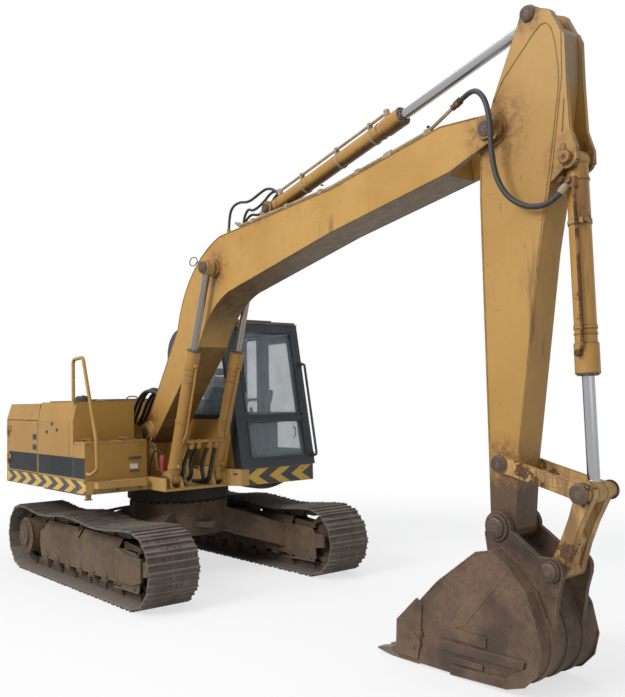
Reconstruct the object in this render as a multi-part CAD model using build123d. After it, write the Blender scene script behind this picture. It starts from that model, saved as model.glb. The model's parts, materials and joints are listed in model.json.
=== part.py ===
"""Crawler excavator with a one-piece boom, a hollow cab and a working bucket linkage.

Millimetres. +X points forward, +Y left and +Z up. The origin lies on the ground under the swing axis.
"""
from build123d import *
import os
from math import atan2, cos, degrees, hypot, pi, radians, sin, tan

os.makedirs("parts", exist_ok=True)

# Clearances
RUN_FIT = 0.05
SEAT_GAP = 0.3
SIDE_GAP = 5.0
EYE_CLEAR = 12.0

# Door and lid hinges
HINGE_RADIUS = 12.0
HINGE_PIN = 6.0
HINGE_LENGTH = 110.0
HINGE_OUT = 14.0
HINGE_LEAF = 10.0
LEAF_REACH = 70.0
DOOR_GAP = 6.0

# Tracks
TRACK_LENGTH = 3340.0
TRACK_HEIGHT = 710.0
TRACK_GAUGE = 2010.0
SHOE_WIDTH = 500.0
SHOE_COUNT = 42
SHOE_PLATE = 12.0
GROUSER_HEIGHT = 20.0
LINK_HEIGHT = 88.0
RAIL_WIDTH = 36.0
RAIL_OFFSET = 52.0
TRACK_SAG = 45.0
CARRIER_X = -86.0

# Wheels inside the track
BOTTOM_ROLLER_COUNT = 7
BOTTOM_ROLLER_PITCH = 285.0
BOTTOM_ROLLER_RADIUS = 72.0
CARRIER_RADIUS = 58.0
FLANGE_DEPTH = 13.0
SHAFT_RADIUS = 28.0
SPROCKET_TEETH = 21
SPROCKET_ROOT = 210.0
SPROCKET_WIDTH = 44.0
HUB_RADIUS = 185.0

# Track frames and car body
FRAME_INNER_HALF = 112.0
FRAME_PLATE = 22.0
FRAME_TOP = 470.0
FRAME_BOTTOM = 165.0
CAR_BODY_RADIUS = 520.0
CAR_BODY_BOTTOM = 430.0
CAR_BODY_TOP = 760.0
CAR_BODY_BORE = 330.0
TOW_X, TOW_Z = 640.0, 545.0
TOW_PLATE = 44.0
TOW_LUG = 55.0
TOW_BORE = 25.0
RING_INNER = 400.0
RING_OUTER = 540.0
RING_SPLIT = 462.0

# Revolving frame
BODY_HALF_WIDTH = 1235.0
TAIL_RADIUS = 2155.0
DECK_BOTTOM = 933.0
DECK_PLATE = 20.0
DECK_TOP = 1064.0
SKIRT = 30.0
TOOL_DECK_FRONT = 383.0
DECK_FRONT = 740.0
CAB_DECK_FRONT = 870.0
CAB_DECK_RIGHT = 172.0
CAB_DECK_LEFT = BODY_HALF_WIDTH - 55.0
TANK_INNER_Y = -571.0

# Housing
SIDE_TOP = 1640.0
HOOD_TOP = 1815.0
HOOD_INSET = 45.0
HOOD_WALL = 20.0
HOOD_FRONT = -645.0
PANEL_SPLIT = -820.0
COUNTERWEIGHT_THICKNESS = 200.0
COUNTERWEIGHT_END = -TAIL_RADIUS + 455.0
SIDE_DOOR_THICKNESS = 32.0
LID_REAR = COUNTERWEIGHT_END - 50.0
LID_FRONT = -950.0
LID_HALF_WIDTH = 700.0
LID_THICKNESS = 26.0
TANK_FRONT = 91.0
TANK_TOP = 1828.0
TANK_WALL = 16.0
TOOL_FRONT = 358.0
TOOL_TOP = 1435.0
TOOL_WALL = 12.0
TOOL_LID = 24.0

# Boom
BOOM_Y = -160.0
BOOM_WIDTH = 330.0
BOOM_PLATE = 13.0
FOOT_X, FOOT_Z = -10.0, 1490.0
FOOT_RADIUS = 118.0
FOOT_PIN = 42.0
TIP_X, TIP_Z = 4567.0, 3562.0
TIP_RADIUS = 98.0
TIP_PIN = 38.0
FORK_PLATE = 40.0
BRACKET_PLATE = 35.0
BOOM_ROD_PIN_X, BOOM_ROD_PIN_Z = 1300.0, 3075.0

# Boom cylinders
BOOM_CYL_OFFSET = 255.0
BOOM_CYL_X, BOOM_CYL_Z = 595.0, 1040.0
BOOM_CYL_BARREL = 1330.0
BOOM_CYL_RADIUS = 62.5
BOOM_CYL_ROD = 35.0
BOOM_CYL_ROD_LENGTH = 1330.0
EYE_WIDTH = 80.0
BOOM_EYE_RADIUS = 68.0
BOOM_CYL_PIN = 34.0
EAR_PLATE = 30.0

# Stick
STICK_WIDTH = 220.0
STICK_PLATE = 12.0
STICK_BOSS_HALF = 118.0
STICK_EAR = 56.0
ROD_PIN_X, ROD_PIN_Z = 4874.0, 4231.0
STICK_END_RADIUS = 58.0

# Stick cylinder
STICK_CYL_X, STICK_CYL_Z = 2010.0, 3535.0
STICK_CYL_BARREL = 1693.0
STICK_CYL_RADIUS = 65.0
STICK_CYL_ROD = 40.0
STICK_CYL_ROD_LENGTH = 1640.0
STICK_EYE_RADIUS = 60.0
STICK_EYE_WIDTH = 96.0
STICK_CYL_PIN = 34.0

# Bucket cylinder
BUCKET_CYL_X, BUCKET_CYL_Z = 5113.0, 3254.0
BUCKET_CYL_BARREL = 1311.0
BUCKET_CYL_RADIUS = 68.0
BUCKET_CYL_ROD = 38.0
BUCKET_CYL_ROD_LENGTH = 1290.0
BUCKET_EYE_RADIUS = 62.0
BUCKET_EYE_WIDTH = 88.0
BUCKET_CYL_PIN = 32.0
BUCKET_CYL_EAR_GAP = 150.0

# Bucket linkage
ROCKER_X, ROCKER_Z = 4569.0, 1380.0
LINK_TOP_X, LINK_TOP_Z = 5155.0, 1232.0
LINK_LOW_X, LINK_LOW_Z = 4950.0, 755.0
BUCKET_PIN_X, BUCKET_PIN_Z = 4559.0, 977.0
ROCKER_PLATE = 26.0
ROCKER_RADIUS = 58.0
LINK_RADIUS = 62.0
LINK_WAIST = 43.0
ROCKER_WAIST = 50.0
LINK_PIN = 32.0
BUCKET_PIN = 36.0
BUCKET_EAR_PLATE = 32.0

# Bucket
BUCKET_WIDTH = 590.0
BUCKET_SIDE = 22.0
BUCKET_SHELL = 18.0
BUCKET_TOOTH_COUNT = 5
TOOTH_LENGTH = 205.0

# Cab
CAB_RIGHT, CAB_LEFT = 235.0, BODY_HALF_WIDTH - 29.0
CAB_REAR = -620.0
CAB_BOTTOM, CAB_TOP = 1105.0, 2640.0
CAB_FRONT_LOW, CAB_FRONT_TOP = 880.0, 588.0
CAB_REAR_ROUND = 300.0
CAB_WALL = 60.0
SEAT_SHIFT = 10.0
SEAT_HEIGHT = 1480.0
CONSOLE_WIDTH = 112.0
CONSOLE_TOP = 1640.0
CONSOLE_CLEAR = 41.5
SEAT_CLEAR = 42.0
SEAT_Y = (CAB_RIGHT + CAB_LEFT) / 2 + SEAT_SHIFT
CONSOLE_OFFSET = (CAB_LEFT - CAB_RIGHT) / 2 - CAB_WALL - CONSOLE_CLEAR - CONSOLE_WIDTH / 2
SEAT_WIDTH = 2 * (CONSOLE_OFFSET - CONSOLE_WIDTH / 2 - SEAT_CLEAR)
CAB_ROOF = 30.0
GLASS = 8.0
SILL = 1640.0
WINDOW_TOP = CAB_TOP - 90.0
DOOR_REAR = -40.0
DOOR_BOTTOM = 1165.0
DOOR_THICKNESS = 46.0
FRONT_SILL = 1195.0
SPLIT_LOW, SPLIT_HIGH = 1595.0, 1640.0
FRONT_POST_RIGHT, FRONT_POST_LEFT = 128.0, 88.0
HATCH_RISE = 42.0

# Rails and hoses
RAIL_RADIUS = 17.0
HOSE_RADIUS = 18.0
LINE_RADIUS = 13.0
LINE_RISE = 20.0
LINE_END_X, LINE_END_Z = 4290.0, 3800.0
LINE_Y = (-308.0, -272.0)
SHORT_LINE_END = 3640.0
COLLAR_LENGTH = 180.0
BELLY_DEPTH = 125.0
BUMPER_REACH = 95.0
BUMPER_RIGHT, BUMPER_LEFT = -BODY_HALF_WIDTH + 85, TANK_INNER_Y - 60
BUMPER_Z = 1020.0
BELLY_HALF_WIDTH = 800.0
BELLY_FRONT = -600.0
DISH_RIGHT, DISH_LEFT = 300.0, 820.0
DISH_DEPTH = 55.0


def box(x0, x1, y0, y1, z0, z1):
    """Block between two corners."""
    low = (Align.MIN, Align.MIN, Align.MIN)
    return Pos(x0, y0, z0) * Box(x1 - x0, y1 - y0, z1 - z0, align=low)


def side_face(points, y):
    """Face in the side plane at y, from (x, z) points."""
    return make_face(Polyline(*[(x, y, z) for x, z in points], close=True))


def beside(side, inner, outer):
    """Low and high Y of a plate on one side of the boom's middle plane."""
    return sorted((BOOM_Y + side * inner, BOOM_Y + side * outer))


def side_plate(points, y0, y1):
    """Plate seen from the side, from (x, z) points, between y0 and y1."""
    return extrude(side_face(points, y0), amount=y1 - y0, dir=(0, 1, 0))


def plan_plate(points, z0, z1):
    """Plate seen from above, from (x, y) points, between z0 and z1."""
    face = make_face(Polyline(*[(x, y, z0) for x, y in points], close=True))
    return extrude(face, amount=z1 - z0, dir=(0, 0, 1))


def disc(x, z, radius, y0, y1):
    """Cylinder across the machine at (x, z), between y0 and y1."""
    low = (Align.CENTER, Align.CENTER, Align.MIN)
    return Plane(origin=(x, y0, z), z_dir=(0, 1, 0)) * Cylinder(radius, y1 - y0, align=low)


def bar(start, end, radius):
    """Round bar between two points."""
    axis = Vector(*end) - Vector(*start)
    low = (Align.CENTER, Align.CENTER, Align.MIN)
    return Plane(origin=start, z_dir=axis) * Cylinder(radius, axis.length, align=low)


def rail(points, bend, radius=RAIL_RADIUS):
    """Bent round tube through the points, with equal bends."""
    path = FilletPolyline(*points, radius=bend)
    start = Plane(origin=path @ 0, z_dir=path % 0)
    return sweep(start * Circle(radius), path=path)


def hinge(centre, upright, leaf_fixed, leaf_moving):
    """Fixed knuckle with its pin and moving knuckle, each with a leaf (two spans across the axis)."""
    x, y, z = centre
    half = HINGE_LENGTH / 2

    def round_part(low, high, radius):
        if upright:
            return bar((x, y, z + low), (x, y, z + high), radius)
        return disc(x, z, radius, y + low, y + high)

    def leaf(spans, low, high):
        a0, a1, b0, b1 = spans
        if upright:
            return box(x + a0, x + a1, y + b0, y + b1, z + low, z + high)
        return box(x + a0, x + a1, y + low, y + high, z + b0, z + b1)

    fixed = round_part(-half, 0, HINGE_RADIUS) + leaf(leaf_fixed, -half, 0) + round_part(0, half, HINGE_PIN)
    moving = round_part(SEAT_GAP, half, HINGE_RADIUS) + leaf(leaf_moving, SEAT_GAP, half)
    return fixed, moving - round_part(0, half + 1, HINGE_PIN + RUN_FIT)


def hinge_row(centres, upright, leaf_fixed, leaf_moving):
    """Fixed halves and moving halves of several equal hinges on one axis."""
    pairs = [hinge(centre, upright, leaf_fixed, leaf_moving) for centre in centres]
    return [pair[0] for pair in pairs], [pair[1] for pair in pairs]


def save(name, shape):
    """Write one sub-part to its STEP file."""
    solids = shape.solids()
    export_step(Compound(children=solids) if len(solids) > 1 else solids[0], f"parts/{name}.step")


# Undercarriage

PLATE_RADIUS = TRACK_HEIGHT / 2 - GROUSER_HEIGHT
WHEEL_X = TRACK_LENGTH / 2 - TRACK_HEIGHT / 2
WHEEL_Z = TRACK_HEIGHT / 2
LOOP_LENGTH = 4 * WHEEL_X + 2 * pi * PLATE_RADIUS
SHOE_PITCH = LOOP_LENGTH / SHOE_COUNT
LINK_RADIUS_IN = PLATE_RADIUS - SHOE_PLATE - LINK_HEIGHT
WHEEL_RADIUS = LINK_RADIUS_IN * cos(SHOE_PITCH / PLATE_RADIUS / 2) - SEAT_GAP
# Share of a shoe's length and share of the grouser height, for three ridges on each shoe
GROUSERS = (
    (0.02, 0), (0.05, 1), (0.12, 1), (0.15, 0),
    (0.43, 0), (0.46, 1), (0.53, 1), (0.56, 0),
    (0.82, 0), (0.85, 1), (0.92, 1), (0.95, 0),
)


def sag_at(x):
    """Drop of the upper run between its two wheels and the carrier roller."""
    low, high = (-WHEEL_X, CARRIER_X) if x < CARRIER_X else (CARRIER_X, WHEEL_X)
    return TRACK_SAG * (1 - cos(2 * pi * (x - low) / (high - low))) / 2


def track_point(distance, inward=0.0):
    """Point (x, z) on the plates' outer face after a distance round the loop, moved inward."""
    run, turn = 2 * WHEEL_X, pi * PLATE_RADIUS
    distance %= LOOP_LENGTH
    radius = PLATE_RADIUS - inward
    if distance < run:
        return distance - WHEEL_X, WHEEL_Z - radius
    if distance < run + turn:
        angle = (distance - run) / PLATE_RADIUS
        return WHEEL_X + radius * sin(angle), WHEEL_Z - radius * cos(angle)
    if distance < 2 * run + turn:
        x = WHEEL_X - (distance - run - turn)
        return x, WHEEL_Z + radius - sag_at(x)
    angle = (distance - 2 * run - turn) / PLATE_RADIUS
    return -WHEEL_X - radius * sin(angle), WHEEL_Z + radius * cos(angle)


def shoe_outline(index):
    """Outer points of one shoe, with its three grousers."""
    x0, z0 = track_point(index * SHOE_PITCH)
    x1, z1 = track_point((index + 1) * SHOE_PITCH)
    length = hypot(x1 - x0, z1 - z0)
    out_x, out_z = (z1 - z0) / length, -(x1 - x0) / length
    points = []
    for share, height in GROUSERS:
        rise = height * GROUSER_HEIGHT
        points.append((x0 + share * (x1 - x0) + rise * out_x, z0 + share * (z1 - z0) + rise * out_z))
    return points


def loop_points(inward):
    """Corner points of the chain, one at each shoe joint."""
    return [track_point(i * SHOE_PITCH, inward) for i in range(SHOE_COUNT)]


def track(side):
    """One track: the loop of shoes and the two chain rails that carry it."""
    centre = side * TRACK_GAUGE / 2
    half = SHOE_WIDTH / 2
    outer = [point for i in range(SHOE_COUNT) for point in shoe_outline(i)]
    shoes = side_plate(outer, centre - half, centre + half)
    shoes -= side_plate(loop_points(SHOE_PLATE), centre - half - 1, centre + half + 1)
    for offset in (-RAIL_OFFSET, RAIL_OFFSET):
        low, high = centre + offset - RAIL_WIDTH / 2, centre + offset + RAIL_WIDTH / 2
        chain = side_plate(loop_points(SHOE_PLATE / 2), low, high)
        chain -= side_plate(loop_points(SHOE_PLATE + LINK_HEIGHT), low - 1, high + 1)
        shoes += chain
    return shoes


def wheel(x, z, centre, tread, flange):
    """Roller or idler: tread on both rails, a flange beside them and a shaft to the frame plates."""
    outer = RAIL_OFFSET + RAIL_WIDTH / 2
    body = disc(x, z, tread, centre - outer - 4, centre + outer + 4)
    for low, high in ((outer + 4, outer + 16), (-outer - 16, -outer - 4)):
        body += disc(x, z, flange, centre + low, centre + high)
    return body + disc(x, z, SHAFT_RADIUS, centre - FRAME_INNER_HALF, centre + FRAME_INNER_HALF)


def idler(centre):
    """Front idler: a rim with a centre flange between the rails, a web and a hub."""
    outer = RAIL_OFFSET + RAIL_WIDTH / 2
    inner = RAIL_OFFSET - RAIL_WIDTH / 2 - 8
    rim = disc(WHEEL_X, WHEEL_Z, WHEEL_RADIUS, centre - outer, centre + outer)
    rim += disc(WHEEL_X, WHEEL_Z, WHEEL_RADIUS + 2 * FLANGE_DEPTH, centre - inner, centre + inner)
    for low, high in ((inner, outer + 1), (-outer - 1, -inner)):
        dish = disc(WHEEL_X, WHEEL_Z, WHEEL_RADIUS - 40, centre + low, centre + high)
        rim -= dish - disc(WHEEL_X, WHEEL_Z, 85, centre + low, centre + high)
    return rim + disc(WHEEL_X, WHEEL_Z, 45, centre - FRAME_INNER_HALF, centre + FRAME_INNER_HALF)


def track_wheels(side):
    """Idler, bottom rollers and carrier roller of one side."""
    centre = side * TRACK_GAUGE / 2
    rail_top = WHEEL_Z - LINK_RADIUS_IN
    bottom_z = rail_top + SEAT_GAP + BOTTOM_ROLLER_RADIUS
    carrier_z = WHEEL_Z + LINK_RADIUS_IN - 1.5 - CARRIER_RADIUS
    wheels = [idler(centre)]
    first = -(BOTTOM_ROLLER_COUNT - 1) / 2 * BOTTOM_ROLLER_PITCH
    for i in range(BOTTOM_ROLLER_COUNT):
        x = first + i * BOTTOM_ROLLER_PITCH
        wheels.append(wheel(x, bottom_z, centre, BOTTOM_ROLLER_RADIUS, BOTTOM_ROLLER_RADIUS + FLANGE_DEPTH))
    carrier = disc(CARRIER_X, carrier_z, CARRIER_RADIUS, centre - 74, centre + 74)
    carrier += disc(CARRIER_X, carrier_z, SHAFT_RADIUS, centre - FRAME_INNER_HALF, centre + FRAME_INNER_HALF)
    post = box(CARRIER_X - 30, CARRIER_X + 30, centre + 84, centre + FRAME_INNER_HALF,
               FRAME_TOP, carrier_z + 34)
    carrier += post + mirror(post, Plane.XZ.offset(-centre))
    wheels.append(carrier)
    return Compound(children=wheels)


def drive(side):
    """Sprocket with its hub: teeth between the chain rails, the travel motor on the inner side."""
    centre = side * TRACK_GAUGE / 2
    tip = PLATE_RADIUS - SHOE_PLATE - 32
    points = []
    for i in range(SPROCKET_TEETH):
        for share, radius in ((0.0, SPROCKET_ROOT), (0.25, SPROCKET_ROOT), (0.45, tip), (0.8, tip)):
            angle = 2 * pi * (i + share) / SPROCKET_TEETH
            points.append((-WHEEL_X + radius * sin(angle), WHEEL_Z + radius * cos(angle)))
    teeth = side_plate(points, centre - SPROCKET_WIDTH / 2, centre + SPROCKET_WIDTH / 2)
    inward = -side
    hub_low, hub_high = sorted((centre + inward * FRAME_INNER_HALF, centre - inward * 175))
    teeth += disc(-WHEEL_X, WHEEL_Z, HUB_RADIUS, hub_low, hub_high)
    cap_low, cap_high = sorted((centre - inward * 175, centre - inward * 205))
    return teeth + disc(-WHEEL_X, WHEEL_Z, 110, cap_low, cap_high)


def track_frame(side):
    """Track frame: two side plates joined by a top plate, with an idler yoke and a drive plate."""
    centre = side * TRACK_GAUGE / 2
    outline = [
        (-1020, 300), (-1000, 430), (-900, FRAME_TOP), (930, FRAME_TOP), (1080, 425),
        (1410, 415), (1410, 295), (1120, 250), (1010, FRAME_BOTTOM), (-980, FRAME_BOTTOM),
    ]
    inner, outer = FRAME_INNER_HALF, FRAME_INNER_HALF + FRAME_PLATE
    frame = side_plate(outline, centre + inner, centre + outer)
    frame += side_plate(outline, centre - outer, centre - inner)
    frame += box(-900, 930, centre - inner, centre + inner, FRAME_TOP - 24, FRAME_TOP)
    for x in (-985, 980):
        frame += box(x, x + 20, centre - inner, centre + inner, 330, 430)
    guard = [(845, 500), (1075, 445), (1330, 440), (1330, 240), (1160, 190), (845, 190)]
    low, high = sorted((centre + side * outer, centre + side * (outer + 26)))
    frame += side_plate(guard, low, high)
    low, high = sorted((centre - side * inner, centre - side * outer))
    frame += disc(-WHEEL_X, WHEEL_Z, 225, low, high)
    return frame + side_plate([(-1330, 470), (-960, 470), (-960, 240), (-1330, 240)], low, high)


def car_body():
    """Centre tower with four sloping box legs to the track frames."""
    reach = TRACK_GAUGE / 2 - FRAME_INNER_HALF - FRAME_PLATE
    low = (Align.CENTER, Align.CENTER, Align.MIN)
    height = CAR_BODY_TOP - CAR_BODY_BOTTOM
    body = Pos(0, 0, CAR_BODY_BOTTOM) * Cylinder(CAR_BODY_RADIUS, height, align=low)
    for side in (-1, 1):
        for front in (-1, 1):
            root = Plane(origin=(front * 250, side * 300, 565), x_dir=(1, 0, 0), z_dir=(0, side, 0))
            foot = Plane(origin=(front * 560, side * reach, 345), x_dir=(1, 0, 0), z_dir=(0, side, 0))
            body += loft([root * Rectangle(340, 250), foot * Rectangle(420, 230)])
    body -= Pos(0, 0, CAR_BODY_BOTTOM - 1) * Cylinder(CAR_BODY_BORE, height - 40, align=low)
    half = TOW_PLATE / 2
    for front in (-1, 1):
        edge = front * (CAR_BODY_RADIUS - 30)
        lug = [(edge, -110), (edge, 110), (front * TOW_X, TOW_LUG), (front * TOW_X, -TOW_LUG)]
        body += plan_plate(lug, TOW_Z - half, TOW_Z + half)
        body += bar((front * TOW_X, 0, TOW_Z - half), (front * TOW_X, 0, TOW_Z + half), TOW_LUG)
        body -= bar((front * TOW_X, 0, TOW_Z - half - 1), (front * TOW_X, 0, TOW_Z + half + 1), TOW_BORE)
    return body


def ring(inner, outer, z0, z1):
    """Flat ring about the swing axis."""
    low = (Align.CENTER, Align.CENTER, Align.MIN)
    body = Cylinder(outer, z1 - z0, align=low) - Cylinder(inner, z1 - z0, align=low)
    return Pos(0, 0, z0) * body


def undercarriage():
    """Everything that stays on the ground."""
    save("car_body", car_body())
    save("swing_ring_fixed", ring(RING_INNER, RING_SPLIT, CAR_BODY_TOP, DECK_BOTTOM - 12))
    for name, side in (("right", -1), ("left", 1)):
        save(f"track_{name}", track(side))
        save(f"track_frame_{name}", track_frame(side))
        save(f"track_wheels_{name}", track_wheels(side))
        save(f"drive_{name}", drive(side))


# Upper structure

BRACKET_IN = BOOM_WIDTH / 2 + SIDE_GAP
BRACKET_OUT = BRACKET_IN + BRACKET_PLATE
EAR_IN = BOOM_CYL_OFFSET + EYE_WIDTH / 2 + SIDE_GAP


def body_outline(front_points, z, tail_radius=TAIL_RADIUS, half_width=BODY_HALF_WIDTH):
    """Plan face with a round tail and straight sides, closed by the points at its front."""
    corner = -(tail_radius ** 2 - half_width ** 2) ** 0.5
    tail = ThreePointArc((corner, half_width, z), (-tail_radius, 0, z), (corner, -half_width, z))
    front = Polyline((corner, -half_width, z), *[(x, y, z) for x, y in front_points], (corner, half_width, z))
    return make_face([tail, front])


def deck_front():
    """Front corners of the deck, from right to left."""
    return [
        (TOOL_DECK_FRONT, -BODY_HALF_WIDTH), (TOOL_DECK_FRONT, TANK_INNER_Y), (DECK_FRONT, TANK_INNER_Y),
        (DECK_FRONT, CAB_DECK_RIGHT), (CAB_DECK_FRONT, CAB_RIGHT), (CAB_DECK_FRONT, CAB_DECK_LEFT),
        (CAB_DECK_FRONT - 60, BODY_HALF_WIDTH),
    ]


def boom_bracket():
    """Side view of the plate that carries the boom foot and the inner end of a cylinder pin."""
    plate = [
        (-420, DECK_BOTTOM + DECK_PLATE), (-135, FOOT_Z), (112, 1360), (172, 1115), (420, 1065),
        (BOOM_CYL_X - 60, 1085), (640, 1060), (690, DECK_BOTTOM + DECK_PLATE),
    ]
    return plate


def main_frame():
    """Deck plate, skirt, cab platform, boom brackets and the ears of the boom cylinders."""
    floor = extrude(body_outline(deck_front(), DECK_BOTTOM), amount=DECK_PLATE, dir=(0, 0, 1))
    outline = body_outline(deck_front(), DECK_BOTTOM + DECK_PLATE)
    wall = extrude(outline - offset(outline, amount=-SKIRT), amount=DECK_TOP - DECK_BOTTOM - DECK_PLATE,
                   dir=(0, 0, 1))
    well = box(TANK_FRONT, 900, -556, CAB_DECK_RIGHT - 1, DECK_BOTTOM + DECK_PLATE, DECK_TOP + 1)
    frame = floor + (wall - well)
    platform = [
        (CAB_REAR, CAB_DECK_RIGHT), (DECK_FRONT, CAB_DECK_RIGHT), (CAB_DECK_FRONT, CAB_RIGHT),
        (CAB_DECK_FRONT, CAB_DECK_LEFT), (CAB_DECK_FRONT - 60, BODY_HALF_WIDTH), (CAB_REAR, BODY_HALF_WIDTH),
    ]
    base = plan_plate(platform, DECK_BOTTOM + DECK_PLATE, CAB_BOTTOM)
    base -= box(CAB_REAR + SKIRT, CAB_DECK_FRONT - SKIRT - 60, CAB_RIGHT + 15, CAB_DECK_LEFT - 10,
                DECK_BOTTOM, CAB_BOTTOM + 1)
    frame += base
    for side in (-1, 1):
        low, high = beside(side, BRACKET_IN, BRACKET_OUT)
        plate = side_plate(boom_bracket(), low, high)
        plate += disc(FOOT_X, FOOT_Z, FOOT_RADIUS, low, high)
        low, high = beside(side, BRACKET_OUT, BRACKET_OUT + 22)
        plate += disc(FOOT_X, FOOT_Z, 82, low, high)
        low, high = beside(side, EAR_IN, EAR_IN + EAR_PLATE)
        ear = [(BOOM_CYL_X - 130, DECK_BOTTOM + DECK_PLATE), (BOOM_CYL_X - 70, BOOM_CYL_Z + 40),
               (BOOM_CYL_X + 60, BOOM_CYL_Z + 40), (BOOM_CYL_X + 70, BOOM_CYL_Z - 35),
               (BOOM_CYL_X + 95, DECK_BOTTOM + DECK_PLATE)]
        plate += side_plate(ear, low, high) + disc(BOOM_CYL_X, BOOM_CYL_Z, 80, low, high)
        low, high = beside(side, BRACKET_IN, EAR_IN + EAR_PLATE + 12)
        frame += plate + disc(BOOM_CYL_X, BOOM_CYL_Z, BOOM_CYL_PIN, low, high)
    pin = disc(FOOT_X, FOOT_Z, FOOT_PIN, BOOM_Y - BRACKET_OUT, BOOM_Y + BRACKET_OUT)
    bumper = box(TOOL_DECK_FRONT, TOOL_DECK_FRONT + BUMPER_REACH, BUMPER_RIGHT, BUMPER_LEFT,
                 BUMPER_Z - 34, BUMPER_Z + 34)
    bumper -= box(TOOL_DECK_FRONT, TOOL_DECK_FRONT + BUMPER_REACH - 12, BUMPER_RIGHT + 12, BUMPER_LEFT - 12,
                  BUMPER_Z - 35, BUMPER_Z + 22)
    return frame + pin + bumper


def belly_pan():
    """Shallow tray under the engine bay, hung from the deck."""
    half, front = BELLY_HALF_WIDTH, BELLY_FRONT
    rear = -TAIL_RADIUS + 320
    low = DECK_BOTTOM - BELLY_DEPTH
    outline = [(rear, low + 60), (rear + 90, low), (front - 60, low), (front, low + 50), (front, DECK_BOTTOM),
               (rear, DECK_BOTTOM)]
    pan = side_plate(outline, -half, half)
    return pan - side_plate(
        [(rear + 8, low + 68), (rear + 98, low + 8), (front - 68, low + 8), (front - 8, low + 58),
         (front - 8, DECK_BOTTOM + 1), (rear + 8, DECK_BOTTOM + 1)], -half + 8, half - 8)


def cab_belly():
    """Curved guard under the cab's platform."""
    x = CAB_DECK_FRONT - 200
    middle = (x, (DISH_RIGHT + DISH_LEFT) / 2, DECK_BOTTOM - DISH_DEPTH)
    arc = ThreePointArc((x, DISH_RIGHT, DECK_BOTTOM), middle, (x, DISH_LEFT, DECK_BOTTOM))
    return extrude(make_face([arc, Line(arc @ 1, arc @ 0)]), amount=160, dir=(1, 0, 0))


def side_door_hinges(side):
    """Two hinges of a side door, on the straight end of the counterweight."""
    x = COUNTERWEIGHT_END + DOOR_GAP / 2
    y = side * (BODY_HALF_WIDTH + HINGE_OUT)
    low, high = sorted((-side * HINGE_OUT, -side * (HINGE_OUT - HINGE_LEAF)))
    centres = [(x, y, DECK_TOP + 130), (x, y, SIDE_TOP - 130)]
    return hinge_row(centres, True, (-24, 0, low, high), (0, LEAF_REACH, low, high))


def counterweight():
    """Cast weight that follows the tail's arc."""
    ends = [(COUNTERWEIGHT_END, -BODY_HALF_WIDTH), (COUNTERWEIGHT_END, BODY_HALF_WIDTH)]
    outer = body_outline(ends, DECK_TOP)
    inner = body_outline(
        [(0, -BODY_HALF_WIDTH + 120), (0, BODY_HALF_WIDTH - 120)], DECK_TOP,
        TAIL_RADIUS - COUNTERWEIGHT_THICKNESS, BODY_HALF_WIDTH - 120,
    )
    weight = extrude(outer - inner, amount=SIDE_TOP - DECK_TOP, dir=(0, 0, 1))
    for side in (-1, 1):
        for half in side_door_hinges(side)[0]:
            weight += half
    return weight


def hood_front():
    """Front corners of the housing, from right to left."""
    return [
        (PANEL_SPLIT, -BODY_HALF_WIDTH), (PANEL_SPLIT, TANK_INNER_Y), (HOOD_FRONT, TANK_INNER_Y),
        (HOOD_FRONT, BODY_HALF_WIDTH),
    ]


def hood():
    """Housing over the engine bay: bevelled shell with a lid opening, front wall and corner posts."""
    rise = HOOD_TOP - SIDE_TOP
    slope = degrees(atan2(HOOD_INSET, rise))
    outline = body_outline(hood_front(), SIDE_TOP)
    shell = extrude(outline, amount=rise, taper=slope)
    shell -= Pos(0, 0, -HOOD_WALL) * extrude(offset(outline, amount=-HOOD_WALL / 2), amount=rise, taper=slope)
    shell -= box(LID_REAR, LID_FRONT, -LID_HALF_WIDTH, LID_HALF_WIDTH, SIDE_TOP + 60, HOOD_TOP + 1)
    wall_right = box(PANEL_SPLIT - 16, PANEL_SPLIT, -BODY_HALF_WIDTH, TANK_INNER_Y, DECK_TOP, SIDE_TOP)
    wall_front = box(HOOD_FRONT - 16, HOOD_FRONT, TANK_INNER_Y, BODY_HALF_WIDTH, DECK_TOP, SIDE_TOP)
    wall_link = box(PANEL_SPLIT - 16, HOOD_FRONT, TANK_INNER_Y, TANK_INNER_Y + 16, DECK_TOP, SIDE_TOP)
    shell += wall_right + wall_front + wall_link
    for half in hood_lid_hinges()[0]:
        shell += half
    return shell


def side_door(side, front):
    """Side door of the engine bay with a pressed frame on its inner face."""
    outer = side * BODY_HALF_WIDTH
    inner = side * (BODY_HALF_WIDTH - SIDE_DOOR_THICKNESS)
    low, high = sorted((outer, inner))
    rear = COUNTERWEIGHT_END + DOOR_GAP
    door = box(rear, front - DOOR_GAP, low, high, DECK_TOP + DOOR_GAP, SIDE_TOP - DOOR_GAP)
    low, high = sorted((inner, side * (BODY_HALF_WIDTH - 8)))
    pocket = box(rear + 60, front - 60, low, high, DECK_TOP + 60, SIDE_TOP - 60)
    door -= pocket
    for half in side_door_hinges(side)[1]:
        door += half
    return door


def hood_lid_hinges():
    """Two hinges at the front edge of the engine lid."""
    x, z = LID_FRONT + 20 + HINGE_OUT, HOOD_TOP + HINGE_OUT
    leaf_fixed = (0, LEAF_REACH - 20, -HINGE_OUT, HINGE_LEAF - HINGE_OUT)
    leaf_moving = (-LEAF_REACH, 0, 1 - HINGE_OUT, HINGE_OUT - 2)
    return hinge_row([(x, -480, z), (x, 480, z)], False, leaf_fixed, leaf_moving)


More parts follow.
